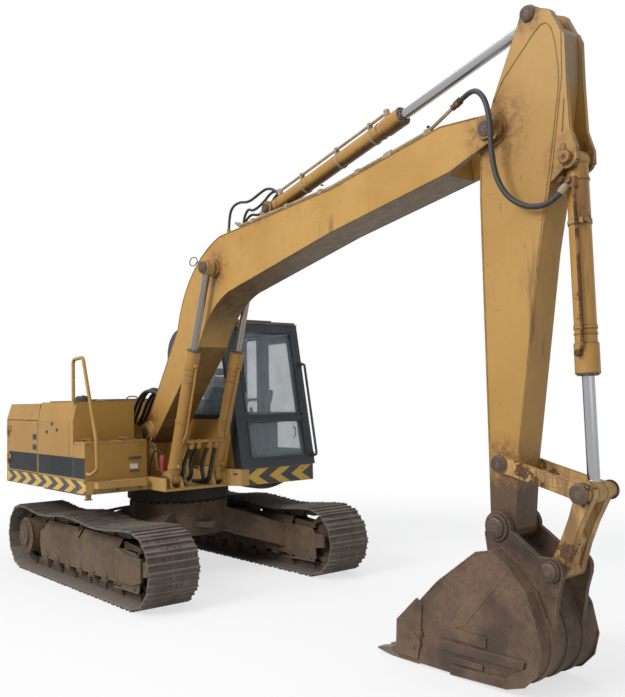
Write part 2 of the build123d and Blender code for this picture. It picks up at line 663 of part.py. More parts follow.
def hood_lid():
    """Engine lid that lies on the hood top, with a turned-down lip."""
    gap = DOOR_GAP
    base = HOOD_TOP + SEAT_GAP
    side = LID_HALF_WIDTH
    lid = box(LID_REAR - 20, LID_FRONT + 20, -side - 20, side + 20, base, base + LID_THICKNESS)
    lip = box(LID_REAR + gap, LID_FRONT - gap, -side + gap, side - gap, HOOD_TOP - 40, base)
    lid += lip - box(LID_REAR + 30, LID_FRONT - 30, -side + 30, side - 30, HOOD_TOP - 41, base)
    for half in hood_lid_hinges()[1]:
        lid += half
    return lid


def fuel_tank():
    """Tank in front of the hood on the right side, with a raised filler cap."""
    outline = [
        (-BODY_HALF_WIDTH, DECK_TOP), (-BODY_HALF_WIDTH, SIDE_TOP), (-BODY_HALF_WIDTH + HOOD_INSET, TANK_TOP),
        (TANK_INNER_Y, TANK_TOP), (TANK_INNER_Y, DECK_TOP),
    ]
    face = make_face(Polyline(*[(PANEL_SPLIT, y, z) for y, z in outline], close=True))
    outer = extrude(face, amount=TANK_FRONT - PANEL_SPLIT, dir=(1, 0, 0))
    inner_face = Pos(TANK_WALL, 0, 0) * offset(face, amount=-TANK_WALL)
    inner = extrude(inner_face, amount=TANK_FRONT - PANEL_SPLIT - 2 * TANK_WALL, dir=(1, 0, 0))
    low = (Align.CENTER, Align.CENTER, Align.MIN)
    cap = Pos(-420, -900, TANK_TOP) * Cylinder(70, 45, align=low)
    tank = outer - inner + cap
    for half in tool_lid_hinges()[0]:
        tank += half
    return tank


def tool_lid_hinges():
    """Two hinges of the tool box lid, on the front of the tank."""
    x, z = TANK_FRONT + HINGE_OUT, TOOL_TOP + HINGE_OUT
    middle = (TANK_INNER_Y - BODY_HALF_WIDTH) / 2
    centres = [(x, middle - 200, z), (x, middle + 200, z)]
    leaf_moving = (0, LEAF_REACH, -HINGE_OUT, HINGE_LEAF - HINGE_OUT)
    return hinge_row(centres, False, (-HINGE_OUT, 0, -6, 6), leaf_moving)


def tool_box():
    """Open box in front of the tank, closed by its own lid."""
    outer = box(TANK_FRONT, TOOL_FRONT, -BODY_HALF_WIDTH, TANK_INNER_Y, DECK_TOP, TOOL_TOP - TOOL_LID)
    inner = box(TANK_FRONT + TOOL_WALL, TOOL_FRONT - TOOL_WALL, -BODY_HALF_WIDTH + TOOL_WALL,
                TANK_INNER_Y - TOOL_WALL, DECK_TOP + TOOL_WALL, TOOL_TOP)
    return outer - inner


def tool_box_lid():
    """Lid of the tool box, hinged at the tank."""
    rear = TANK_FRONT + HINGE_OUT
    low = TOOL_TOP - TOOL_LID + SEAT_GAP
    lid = box(rear, TOOL_FRONT, -BODY_HALF_WIDTH, TANK_INNER_Y, low, TOOL_TOP + SEAT_GAP)
    for half in tool_lid_hinges()[1]:
        lid += half
    return lid


def handrail():
    """Rail from the tank top down to the front of the tool box, with two feet."""
    y = -BODY_HALF_WIDTH + 22
    path = [(50, y, TANK_TOP + 8), (50, y, 2250), (280, y, 2262), (567, y, 1466), (584, y, 1186),
            (452, y, 1131), (TOOL_FRONT, y, 1131)]
    tube = rail(path, 45)
    low = (Align.CENTER, Align.CENTER, Align.MIN)
    return tube + Pos(50, y, TANK_TOP) * Cylinder(38, 10, align=low)


def engine_block():
    """One plain block in place of the engine and its pumps."""
    return box(COUNTERWEIGHT_END + 200, HOOD_FRONT - 115, -520, 520, DECK_BOTTOM + DECK_PLATE, 1330)


def upper_structure():
    """Everything fixed on the revolving frame apart from the cab."""
    save("main_frame", main_frame())
    save("swing_ring_turning", ring(RING_SPLIT + 0.5, RING_OUTER, CAR_BODY_TOP + 40, DECK_BOTTOM))
    save("belly_pan", Compound(children=[belly_pan(), cab_belly()]))
    save("counterweight", counterweight())
    save("hood", hood())
    save("hood_lid", hood_lid())
    save("side_door_right", side_door(-1, PANEL_SPLIT - 16))
    save("side_door_left", side_door(1, HOOD_FRONT - 16))
    save("engine_block", engine_block())
    save("fuel_tank", fuel_tank())
    save("tool_box", tool_box())
    save("tool_box_lid", tool_box_lid())
    save("handrail", handrail())


# Cab

def front_x(z):
    """X of the cab's leaning front face at a height."""
    return CAB_FRONT_LOW - (z - CAB_BOTTOM) * (CAB_FRONT_LOW - CAB_FRONT_TOP) / (CAB_TOP - CAB_BOTTOM)


def cab_face(y):
    """Side view of the cab with its round upper rear corner."""
    top_start = (CAB_REAR + CAB_REAR_ROUND, y, CAB_TOP)
    turn = CAB_REAR_ROUND * (1 - sin(radians(45)))
    corner = ThreePointArc((CAB_REAR, y, CAB_TOP - CAB_REAR_ROUND), (CAB_REAR + turn, y, CAB_TOP - turn),
                           top_start)
    rest = Polyline(top_start, (CAB_FRONT_TOP, y, CAB_TOP), (CAB_FRONT_LOW, y, CAB_BOTTOM),
                    (CAB_REAR, y, CAB_BOTTOM), (CAB_REAR, y, CAB_TOP - CAB_REAR_ROUND))
    return make_face([corner, rest])


def cab_slab(y0, y1, depth):
    """The cab's side view, drawn in by a depth all round, between y0 and y1."""
    face = cab_face(y0)
    if depth:
        face = offset(face, amount=-depth)
    return extrude(face, amount=y1 - y0, dir=(0, 1, 0))


def side_window(rear, low, high, margin=92.0):
    """Corners of a side window that follows the leaning front pillar."""
    return [(rear, low), (front_x(low) - margin, low), (front_x(high) - margin, high), (rear, high)]


def cab_openings():
    """Window and door openings through the cab's walls."""
    right = side_plate(side_window(-420, SILL, WINDOW_TOP), CAB_RIGHT - 1, CAB_RIGHT + CAB_WALL + 1)
    door = side_plate(side_window(DOOR_REAR, DOOR_BOTTOM, WINDOW_TOP), CAB_LEFT - CAB_WALL - 1, CAB_LEFT + 1)
    left = side_plate(side_window(-420, SILL, WINDOW_TOP), CAB_LEFT - CAB_WALL - 1, CAB_LEFT + 1)
    left &= box(-430, DOOR_REAR - 70, CAB_LEFT - CAB_WALL - 1, CAB_LEFT + 1, SILL, WINDOW_TOP)
    rear = box(CAB_REAR - 1, CAB_REAR + CAB_WALL + 1, CAB_RIGHT + 110, CAB_LEFT - 110, SILL + 60, 2320)
    low, high = CAB_RIGHT + FRONT_POST_RIGHT, CAB_LEFT - FRONT_POST_LEFT
    front = box(400, 1000, low, high, FRONT_SILL, SPLIT_LOW)
    front += box(400, 1000, low, high, SPLIT_HIGH, WINDOW_TOP + 20)
    return [right, door, left, rear, front]


def cab_door_hinges():
    """Two hinges at the rear edge of the cab door."""
    low, high = -HINGE_OUT, HINGE_LEAF - HINGE_OUT
    centres = [(DOOR_REAR, CAB_LEFT + HINGE_OUT, z) for z in (DOOR_BOTTOM + 180, WINDOW_TOP - 180)]
    return hinge_row(centres, True, (-LEAF_REACH, 0, low, high), (0, LEAF_REACH, low, high))


def cab_frame():
    """Cab shell with its pillars, floor and ceiling, and the pins of the door hinges."""
    shell = cab_slab(CAB_RIGHT, CAB_LEFT, 0) - cab_slab(CAB_RIGHT + CAB_WALL, CAB_LEFT - CAB_WALL, CAB_WALL)
    for opening in cab_openings():
        shell -= opening
    for half in cab_door_hinges()[0]:
        shell += half
    return shell


def cab_glass():
    """Fixed panes: windscreen in two parts, right side, rear quarter and rear window."""
    right, door, left, rear, front = cab_openings()
    middle = CAB_WALL / 2
    screen = cab_slab(CAB_RIGHT, CAB_LEFT, middle) - cab_slab(CAB_RIGHT - 1, CAB_LEFT + 1, middle + GLASS)
    panes = (screen & front).solids()
    panes += (right & box(-1000, 1000, CAB_RIGHT + middle, CAB_RIGHT + middle + GLASS, 0, 3000)).solids()
    panes += (left & box(-1000, 1000, CAB_LEFT - middle - GLASS, CAB_LEFT - middle, 0, 3000)).solids()
    panes += (rear & box(CAB_REAR + middle, CAB_REAR + middle + GLASS, 0, 2000, 0, 3000)).solids()
    return Compound(children=panes)


def door_points(inset):
    """Corners of the cab door or of its window, drawn in from the door opening."""
    low, high = DOOR_BOTTOM + inset, WINDOW_TOP - inset
    return [(DOOR_REAR + inset, low), (front_x(low) - 92 - inset, low), (front_x(high) - 92 - inset, high),
            (DOOR_REAR + inset, high)]


def cab_door():
    """Door with an upper and a lower window and a handle."""
    outer, inner = CAB_LEFT, CAB_LEFT - DOOR_THICKNESS
    door = side_plate(door_points(DOOR_GAP), inner, outer)
    window = side_plate(door_points(DOOR_GAP + 70), inner - 1, outer + 1)
    window -= box(-100, 900, inner - 1, outer + 1, 1590, 1650)
    handle = box(560, 640, outer, outer + 26, 1606, 1634)
    door = door - window + handle
    for half in cab_door_hinges()[1]:
        door += half
    return door


def cab_door_glass():
    """Panes of the cab door."""
    middle = CAB_LEFT - DOOR_THICKNESS / 2
    window = side_plate(door_points(DOOR_GAP + 70), middle - GLASS / 2, middle + GLASS / 2)
    return window - box(-100, 900, middle - 50, middle + 50, 1590, 1650)


def cab_roof():
    """Roof skin with a raised hatch."""
    skin = box(CAB_REAR + CAB_REAR_ROUND, CAB_FRONT_TOP + 8, CAB_RIGHT - 6, CAB_LEFT + 6,
               CAB_TOP, CAB_TOP + CAB_ROOF)
    skin = fillet(skin.edges().filter_by(Axis.Z), 60)
    return skin + box(-180, 330, CAB_RIGHT + 160, CAB_LEFT - 160, CAB_TOP + CAB_ROOF,
                      CAB_TOP + CAB_ROOF + HATCH_RISE)


def seat():
    """Plain seat cushion and back rest."""
    low, high = SEAT_HEIGHT, SEAT_HEIGHT + 720
    side = [(-330, low), (-300, high), (-200, high), (-200, low + 140), (250, low + 160), (250, low + 20),
            (-200, low)]
    return side_plate(side, SEAT_Y - SEAT_WIDTH / 2, SEAT_Y + SEAT_WIDTH / 2)


def cab_controls():
    """Seat base, two consoles with levers, and the travel levers."""
    floor = CAB_BOTTOM + CAB_WALL
    half = SEAT_WIDTH / 2 - 40
    base = box(-260, 180, SEAT_Y - half, SEAT_Y + half, floor, SEAT_HEIGHT - SEAT_GAP)
    solids = [base]
    for y in (SEAT_Y - CONSOLE_OFFSET, SEAT_Y + CONSOLE_OFFSET):
        console = box(-200, 330, y - CONSOLE_WIDTH / 2, y + CONSOLE_WIDTH / 2, floor, CONSOLE_TOP)
        console += bar((240, y, CONSOLE_TOP), (270, y, CONSOLE_TOP + 160), 12)
        solids.append(console + bar((268, y, CONSOLE_TOP + 150), (285, y, CONSOLE_TOP + 240), 24))
    for y in (SEAT_Y - 50, SEAT_Y + 50):
        lever = bar((520, y, floor + 30), (440, y, CONSOLE_TOP), 11)
        solids.append(lever + box(450, 600, y - 40, y + 40, floor, floor + 70))
    return Compound(children=solids)


def cab_rail():
    """Grab rail on the left front corner of the cab."""
    y = CAB_LEFT - 22
    path = [(front_x(1200) + 3, y, 1200), (front_x(1200) + 80, y, 1200), (front_x(2200) + 80, y, 2200),
            (front_x(2200) + 3, y, 2200)]
    return rail(path, 30, 14)


def cab():
    """The cab's fixed pieces and its door."""
    save("cab_frame", cab_frame())
    save("cab_roof", cab_roof())
    save("cab_glass", cab_glass())
    save("cab_door", cab_door())
    save("cab_door_glass", cab_door_glass())
    save("seat", seat())
    save("cab_controls", cab_controls())
    save("cab_rail", cab_rail())


# Boom

BOOM_RIGHT = BOOM_Y - BOOM_WIDTH / 2
BOOM_LEFT = BOOM_Y + BOOM_WIDTH / 2
FORK_GAP_HALF = BOOM_WIDTH / 2 - FORK_PLATE
BOOM_TOP = ((1383, 3375), (2988, 3492), (4163, 3686), (4590, 3656))
# Route of the hose from the line block to the bucket cylinder
HOSE_ROUTE = [
    (LINE_END_X + 0.273, LINE_Y[0], LINE_END_Z + 0.125), (4348.2, LINE_Y[0], LINE_END_Z + 26.6),
    (4446, -340, 3840), (4545, -385, 3812), (4612, -392, 3730), (4643, -392, 3590), (4644, -390, 3400),
    (4668, -385, 3215), (4750, -372, 3060), (4885, -340, 2975), (5025, -292, 2985), (5088, -252, 3080),
]


def hose_bends(route):
    """Bend radius at each inner corner: as long as the shorter run beside it allows."""
    bends = []
    for before, here, after in zip(route, route[1:], route[2:]):
        run_in, run_out = Vector(*here) - Vector(*before), Vector(*after) - Vector(*here)
        half_turn = run_in.get_angle(run_out) / 2
        bends.append(round(0.45 * min(run_in.length, run_out.length) / tan(radians(half_turn)), 1))
    return bends


HOSE_BENDS = hose_bends(HOSE_ROUTE)
print("stick hose bends, mm:", HOSE_BENDS)


def boom_face(y):
    """Side view of the boom: straight foot, round bend and a long straight arm."""
    rear_bend = ThreePointArc((584, y, 2540), (829, y, 3022), (1383, y, 3375))
    top = Polyline(*[(x, y, z) for x, z in BOOM_TOP], (4608, y, 3480), (4242, y, 3349), (2977, y, 3139),
                   (1539, y, 2833))
    belly = ThreePointArc((1539, y, 2833), (1210, y, 2650), (983, y, 2343))
    foot = Polyline((983, y, 2343), (74, y, 1407), (-106, y, 1559), (584, y, 2540))
    return make_face([rear_bend, top, belly, foot])


def boom():
    """Hollow boom with its foot and tip bosses, the stick fork and the stick cylinder's bracket."""
    face = boom_face(BOOM_RIGHT)
    body = extrude(face, amount=BOOM_WIDTH, dir=(0, 1, 0))
    body += disc(FOOT_X, FOOT_Z, FOOT_RADIUS, BOOM_RIGHT, BOOM_LEFT)
    body += disc(TIP_X, TIP_Z, TIP_RADIUS, BOOM_RIGHT, BOOM_LEFT)
    inner = offset(boom_face(BOOM_RIGHT + BOOM_PLATE), amount=-BOOM_PLATE)
    cavity = extrude(inner, amount=BOOM_WIDTH - 2 * BOOM_PLATE, dir=(0, 1, 0))
    cavity &= box(180, 3960, BOOM_RIGHT, BOOM_LEFT, 1000, 4000)
    body -= cavity
    slot = [(3985, 3900), (3985, 3640), (4190, 3500), (4225, 3000), (4900, 3000), (4900, 3900)]
    body -= side_plate(slot, BOOM_Y - FORK_GAP_HALF, BOOM_Y + FORK_GAP_HALF)
    body -= disc(FOOT_X, FOOT_Z, FOOT_PIN + RUN_FIT, BOOM_RIGHT - 1, BOOM_LEFT + 1)
    for side in (-1, 1):
        low, high = beside(side, BOOM_WIDTH / 2, BOOM_WIDTH / 2 + 26)
        body += disc(TIP_X, TIP_Z, 70, low, high) + disc(BOOM_ROD_PIN_X, BOOM_ROD_PIN_Z, 85, low, high)
        low, high = beside(side, STICK_EYE_WIDTH / 2 + 4, STICK_EYE_WIDTH / 2 + 30)
        ear = [(1840, 3400), (1948, 3558), (2072, 3508), (2100, 3400)]
        body += side_plate(ear, low, high) + disc(STICK_CYL_X, STICK_CYL_Z, 66, low, high)
    reach = STICK_EYE_WIDTH / 2 + 42
    body += disc(STICK_CYL_X, STICK_CYL_Z, STICK_CYL_PIN, BOOM_Y - reach, BOOM_Y + reach)
    return body + disc(TIP_X, TIP_Z, TIP_PIN, BOOM_RIGHT, BOOM_LEFT)


def boom_top_z(x):
    """Height of the boom's upper edge."""
    for (x0, z0), (x1, z1) in zip(BOOM_TOP, BOOM_TOP[1:]):
        if x <= x1:
            return z0 + (x - x0) * (z1 - z0) / (x1 - x0)
    return BOOM_TOP[-1][1]


def boom_lines():
    """Two steel lines along the boom's top in clamps; the outer one rises at the front to meet the hose."""
    front = 4040
    outer, inner = LINE_Y
    solids = None
    for y, end in ((outer, front), (inner, SHORT_LINE_END)):
        path = [(x, y, boom_top_z(x) + LINE_RISE) for x in (1690, BOOM_TOP[1][0], end)]
        path.insert(0, (1630, y, path[0][2] + 40))
        if end == front:
            path.append((LINE_END_X, y, LINE_END_Z))
        line = rail(path, 60, LINE_RADIUS)
        solids = line if solids is None else solids + line
    rise = LINE_RISE + LINE_RADIUS + 4
    edge = LINE_RADIUS + 4
    for x, half in ((1900, 22), (2400, 22), (2850, 22), (3300, 22), (SHORT_LINE_END, 40), (front, 32)):
        clamp = [(x - half, boom_top_z(x - half)), (x + half, boom_top_z(x + half)),
                 (x + half, boom_top_z(x + half) + rise), (x - half, boom_top_z(x - half) + rise)]
        solids += side_plate(clamp, outer - edge, (inner if x <= SHORT_LINE_END else outer - 2) + edge)
    return solids


def stick_hose():
    """Hose from the boom's line block round the joint to the bucket cylinder's barrel."""
    path = FilletPolyline(*HOSE_ROUTE, radius=HOSE_BENDS)
    start = Plane(origin=path @ 0, z_dir=path % 0)
    return sweep(start * Circle(HOSE_RADIUS), path=path)


def cylinder_barrel(pin, gland_at, y, radius, eye_radius, eye_width, pin_radius, rod_radius, collar):
    """Cylinder barrel at y: eye on its pin, tube with a blind bore, and a gland that guides the rod."""
    (x0, z0), (x1, z1) = pin, gland_at
    length = hypot(x1 - x0, z1 - z0)
    ux, uz = (x1 - x0) / length, (z1 - z0) / length

    def at(distance):
        return x0 + ux * distance, y, z0 + uz * distance

    body = bar(at(eye_radius * 0.5), at(length), radius)
    body += bar(at(length - COLLAR_LENGTH), at(length), collar)
    body -= disc(x0, z0, eye_radius + EYE_CLEAR, y - radius, y - eye_width / 2)
    body -= disc(x0, z0, eye_radius + EYE_CLEAR, y + eye_width / 2, y + radius)
    body += disc(x0, z0, eye_radius, y - eye_width / 2, y + eye_width / 2)
    body -= bar(at(eye_radius + 30), at(length - 70), radius - 12)
    body -= bar(at(length - 75), at(length + 1), rod_radius + RUN_FIT)
    return body - disc(x0, z0, pin_radius + RUN_FIT, y - eye_width, y + eye_width)


def cylinder_rod(pin, eye_at, y, radius, length, eye_radius, eye_width, stub):
    """Piston rod at y with its eye, which carries its own pin out to the stub's half width."""
    (x0, z0), (x1, z1) = pin, eye_at
    span = hypot(x1 - x0, z1 - z0)
    ux, uz = (x1 - x0) / span, (z1 - z0) / span
    rod = bar((x1 - ux * length, y, z1 - uz * length), (x1, y, z1), radius)
    rod += disc(x1, z1, eye_radius, y - eye_width / 2, y + eye_width / 2)
    low, high = sorted((y, y + stub))
    return rod + disc(x1, z1, eye_radius * 0.62, low, high)


def boom_cylinders():
    """Barrels and rods of the two boom cylinders."""
    pin, eye = (BOOM_CYL_X, BOOM_CYL_Z), (BOOM_ROD_PIN_X, BOOM_ROD_PIN_Z)
    span = hypot(eye[0] - pin[0], eye[1] - pin[1])
    share = BOOM_CYL_BARREL / span
    gland = (pin[0] + share * (eye[0] - pin[0]), pin[1] + share * (eye[1] - pin[1]))
    barrels, rods = [], []
    for side in (-1, 1):
        y = BOOM_Y + side * BOOM_CYL_OFFSET
        barrels.append(cylinder_barrel(pin, gland, y, BOOM_CYL_RADIUS, 75, EYE_WIDTH, BOOM_CYL_PIN,
                                       BOOM_CYL_ROD, BOOM_CYL_RADIUS + 8))
        rods.append(cylinder_rod(pin, eye, y, BOOM_CYL_ROD, BOOM_CYL_ROD_LENGTH, BOOM_EYE_RADIUS,
                                 EYE_WIDTH, side * 62))
    save("boom_barrels", Compound(children=barrels))
    save("boom_rods", Compound(children=rods))


def stick_cylinder():
    """Barrel and rod of the cylinder on top of the boom."""
    pin, eye = (STICK_CYL_X, STICK_CYL_Z), (ROD_PIN_X, ROD_PIN_Z)
    span = hypot(eye[0] - pin[0], eye[1] - pin[1])
    share = STICK_CYL_BARREL / span
    gland = (pin[0] + share * (eye[0] - pin[0]), pin[1] + share * (eye[1] - pin[1]))
    save("stick_barrel", cylinder_barrel(pin, gland, BOOM_Y, STICK_CYL_RADIUS, STICK_EYE_RADIUS,
                                         STICK_EYE_WIDTH, STICK_CYL_PIN, STICK_CYL_ROD, STICK_CYL_RADIUS + 8))
    save("stick_rod", cylinder_rod(pin, eye, BOOM_Y, STICK_CYL_ROD, STICK_CYL_ROD_LENGTH, STICK_EYE_RADIUS,
                                   STICK_EYE_WIDTH, STICK_EYE_WIDTH / 2))


# Stick

STICK_RIGHT = BOOM_Y - STICK_WIDTH / 2
STICK_LEFT = BOOM_Y + STICK_WIDTH / 2


def stick_points():
    """Side view of the stick without its round ends."""
    return [
        (4790, 4190), (4580, 3763), (4461, 3458), (4448, 3123), (4459, 1500), (4461, 960), (4650, 930),
        (4700, 1414), (4905, 2717), (5010, 3197), (5100, 3762), (5106, 4045), (5029, 4205), (4874, 4280),
        (4820, 4266),
    ]


def stick():
    """Hollow stick with a clevis for its cylinder, ears for the bucket cylinder and pin bosses."""
    body = side_plate(stick_points(), STICK_RIGHT, STICK_LEFT)
    body += disc(ROD_PIN_X, ROD_PIN_Z, STICK_END_RADIUS, STICK_RIGHT, STICK_LEFT)
    body += disc(BUCKET_PIN_X, BUCKET_PIN_Z, 98, STICK_RIGHT, STICK_LEFT)
    inner = offset(side_face(stick_points(), STICK_RIGHT + STICK_PLATE), amount=-STICK_PLATE)
    cavity = extrude(inner, amount=STICK_WIDTH - 2 * STICK_PLATE, dir=(0, 1, 0))
    cavity &= box(4300, 5200, STICK_RIGHT, STICK_LEFT, 1500, 3440)
    body -= cavity
    half = STICK_WIDTH / 2 - STICK_EAR
    slot = [(4400, 3690), (5060, 3950), (5200, 4500), (4400, 4500)]
    body -= side_plate(slot, BOOM_Y - half, BOOM_Y + half)
    body += disc(TIP_X, TIP_Z, 112, BOOM_Y - STICK_BOSS_HALF, BOOM_Y + STICK_BOSS_HALF)
    body += disc(BUCKET_PIN_X, BUCKET_PIN_Z, 92, BOOM_Y - STICK_BOSS_HALF - 16, BOOM_Y + STICK_BOSS_HALF + 16)
    body -= disc(TIP_X, TIP_Z, TIP_PIN + RUN_FIT, STICK_RIGHT - 50, STICK_LEFT + 50)
    body -= disc(BUCKET_PIN_X, BUCKET_PIN_Z, BUCKET_PIN + RUN_FIT, STICK_RIGHT - 50, STICK_LEFT + 50)
    ear = [(4990, 3120), (5090, 3190), (5184, 3230), (5184, 3310), (5142, 3440), (5130, 3740), (5128, 4010),
           (5104, 4070), (5090, 3725)]
    for side in (-1, 1):
        low, high = beside(side, BUCKET_CYL_EAR_GAP / 2, BUCKET_CYL_EAR_GAP / 2 + 32)
        body += side_plate(ear, low, high) + disc(BUCKET_CYL_X, BUCKET_CYL_Z, 68, low, high)
        low, high = beside(side, half, STICK_WIDTH / 2 + 18)
        body += disc(ROD_PIN_X, ROD_PIN_Z, 46, low, high)
        low, high = beside(side, STICK_WIDTH / 2 - 5, STICK_WIDTH / 2 + SIDE_GAP + ROCKER_PLATE + 14)
        body += disc(ROCKER_X, ROCKER_Z, 36, low, high)
    reach = BUCKET_CYL_EAR_GAP / 2 + 50
    return body + disc(BUCKET_CYL_X, BUCKET_CYL_Z, BUCKET_CYL_PIN, BOOM_Y - reach, BOOM_Y + reach)


def link_bar(start, end, radius_start, radius_end, waist, y0, y1):
    """Flat link with two round ends and a narrower or wider middle."""
    (x0, z0), (x1, z1) = start, end
    length = hypot(x1 - x0, z1 - z0)
    nx, nz = -(z1 - z0) / length, (x1 - x0) / length

    def off(share, width):
        return x0 + share * (x1 - x0) + width * nx, z0 + share * (z1 - z0) + width * nz

    wide_0, wide_1 = 0.97 * radius_start, 0.97 * radius_end
    points = [off(0, wide_0), off(0.35, waist), off(0.65, waist), off(1, wide_1),
              off(1, -wide_1), off(0.65, -waist), off(0.35, -waist), off(0, -wide_0)]
    body = side_plate(points, y0, y1)
    return body + disc(x0, z0, radius_start, y0, y1) + disc(x1, z1, radius_end, y0, y1)


def rocker_links():
    """Two plates beside the stick, each on its own pin stub."""
    inner = STICK_WIDTH / 2 + SIDE_GAP
    plates = []
    for side in (-1, 1):
        low, high = beside(side, inner, inner + ROCKER_PLATE)
        plate = link_bar((ROCKER_X, ROCKER_Z), (LINK_TOP_X, LINK_TOP_Z), ROCKER_RADIUS, ROCKER_RADIUS - 5,
                         ROCKER_WAIST, low, high)
        plate -= disc(ROCKER_X, ROCKER_Z, 36 + RUN_FIT, low - 1, high + 1)
        low, high = beside(side, inner + ROCKER_PLATE, inner + ROCKER_PLATE + 34)
        plates.append(plate + disc(LINK_TOP_X, LINK_TOP_Z, 48, low, high))
    return Compound(children=plates)


def bucket_link():
    """H-shaped link: two arms at the top for the rod eye between them, one boss at the bucket."""
    arm_in = BUCKET_EYE_WIDTH / 2 + 5
    arm_out = STICK_WIDTH / 2 - 2
    body = None
    for side in (-1, 1):
        low, high = beside(side, arm_in, arm_out)
        arm = link_bar((LINK_TOP_X, LINK_TOP_Z), (LINK_LOW_X, LINK_LOW_Z), LINK_RADIUS, LINK_RADIUS,
                       LINK_WAIST, low, high)
        body = arm if body is None else body + arm
    body += disc(LINK_LOW_X, LINK_LOW_Z, LINK_RADIUS, BOOM_Y - arm_out, BOOM_Y + arm_out)
    start = (LINK_LOW_X + 0.38 * (LINK_TOP_X - LINK_LOW_X), LINK_LOW_Z + 0.38 * (LINK_TOP_Z - LINK_LOW_Z))
    body += link_bar((LINK_LOW_X, LINK_LOW_Z), start, LINK_RADIUS - 12, 36, 38,
                     BOOM_Y - arm_in, BOOM_Y + arm_in)
    return body - disc(LINK_LOW_X, LINK_LOW_Z, LINK_PIN + RUN_FIT, BOOM_Y - 200, BOOM_Y + 200)


def bucket_cylinder():
    """Barrel and rod of the cylinder in front of the stick."""
    pin, eye = (BUCKET_CYL_X, BUCKET_CYL_Z), (LINK_TOP_X, LINK_TOP_Z)
    span = hypot(eye[0] - pin[0], eye[1] - pin[1])
    share = BUCKET_CYL_BARREL / span
    gland = (pin[0] + share * (eye[0] - pin[0]), pin[1] + share * (eye[1] - pin[1]))
    save("bucket_barrel", cylinder_barrel(pin, gland, BOOM_Y, BUCKET_CYL_RADIUS, 60, 110, BUCKET_CYL_PIN,
                                          BUCKET_CYL_ROD, BUCKET_CYL_RADIUS + 8))
    save("bucket_rod", cylinder_rod(pin, eye, BOOM_Y, BUCKET_CYL_ROD, BUCKET_CYL_ROD_LENGTH,
                                    BUCKET_EYE_RADIUS, BUCKET_EYE_WIDTH, BUCKET_EYE_WIDTH / 2))


# Bucket

BUCKET_RIGHT = BOOM_Y - BUCKET_WIDTH / 2
BUCKET_LEFT = BOOM_Y + BUCKET_WIDTH / 2
LIP_X, LIP_Z = 3790.0, 14.0


def bucket_back(y):
    """Outer line of the bucket's back and bottom, from the top edge to the lip."""
    upper = Polyline((4473, y, 820), (4594, y, 848), (4729, y, 762), (4852, y, 625), (4905, y, 490))
    heel = ThreePointArc((4905, y, 490), (4950, y, 300), (4815, y, 78))
    floor = Polyline((4815, y, 78), (4700, y, 36), (4485, y, 19), (4236, y, LIP_Z), (LIP_X, y, LIP_Z))
    return [upper, heel, floor]


def bucket_face(y):
    """Side view of the bucket."""
    mouth = Polyline((LIP_X, y, LIP_Z), (3800, y, 262), (4143, y, 585), (4473, y, 820))
    return make_face([*bucket_back(y), mouth])


def bucket():
    """Open bucket with side plates, cutting edge, side cutters, wear strips and mounting ears."""
    body = extrude(bucket_face(BUCKET_RIGHT), amount=BUCKET_WIDTH, dir=(0, 1, 0))
    inner = offset(bucket_face(BUCKET_RIGHT + BUCKET_SIDE), amount=-BUCKET_SHELL)
    hollow = extrude(inner, amount=BUCKET_WIDTH - 2 * BUCKET_SIDE, dir=(0, 1, 0))
    mouth = [(LIP_X - 60, LIP_Z + 30), (4050, LIP_Z + 30), (4420, 640), (4450, 822), (4100, 700),
             (LIP_X - 60, 420)]
    hollow += side_plate(mouth, BUCKET_RIGHT + BUCKET_SIDE, BUCKET_LEFT - BUCKET_SIDE)
    body -= hollow
    body += box(LIP_X - 30, LIP_X + 170, BUCKET_RIGHT, BUCKET_LEFT, LIP_Z - 8, LIP_Z + 24)
    cutter = [(LIP_X - 34, LIP_Z + 30), (LIP_X + 170, LIP_Z + 30), (LIP_X + 200, 200), (4010, 420),
              (3960, 450), (3770, 275)]
    strip = [(4250, 8), (4700, 26), (4830, 66), (4925, 160), (4962, 300), (4918, 490), (4872, 560),
             (4835, 540), (4900, 300), (4860, 190), (4690, 84), (4250, 66)]
    for side in (-1, 1):
        edge = BOOM_Y + side * BUCKET_WIDTH / 2
        low, high = sorted((edge, edge + side * 16))
        body += side_plate(cutter, low, high) + side_plate(strip, low, high)
        inner_y = STICK_BOSS_HALF + 16 + SIDE_GAP
        low, high = beside(side, inner_y, inner_y + BUCKET_EAR_PLATE)
        ear = [(4500, 1060), (4717, 930), (4861, 830), (4950, 830), (5026, 722), (4990, 610), (4966, 470),
               (4948, 380), (4890, 505), (4729, 755), (4594, 840), (4473, 812), (4455, 930)]
        body += side_plate(ear, low, high) + disc(BUCKET_PIN_X, BUCKET_PIN_Z, 100, low, high)
        body += disc(LINK_LOW_X, LINK_LOW_Z, 78, low, high)
    reach = inner_y + BUCKET_EAR_PLATE + 26
    body += disc(BUCKET_PIN_X, BUCKET_PIN_Z, BUCKET_PIN, BOOM_Y - reach, BOOM_Y + reach)
    return body + disc(LINK_LOW_X, LINK_LOW_Z, LINK_PIN, BOOM_Y - reach, BOOM_Y + reach)


def bucket_teeth():
    """Row of digging teeth on the cutting edge."""
    pitch = (BUCKET_WIDTH - 80) / (BUCKET_TOOTH_COUNT - 1)
    back = LIP_X - 30
    side = [(back, LIP_Z - 10), (back, LIP_Z + 62), (back - 60, LIP_Z + 58),
            (back - TOOTH_LENGTH, LIP_Z + 22), (back - TOOTH_LENGTH, LIP_Z + 10), (back - 60, LIP_Z - 11)]
    first = BUCKET_RIGHT + 40
    centres = [first + i * pitch for i in range(BUCKET_TOOTH_COUNT)]
    return Compound(children=[side_plate(side, y - 34, y + 34) for y in centres])


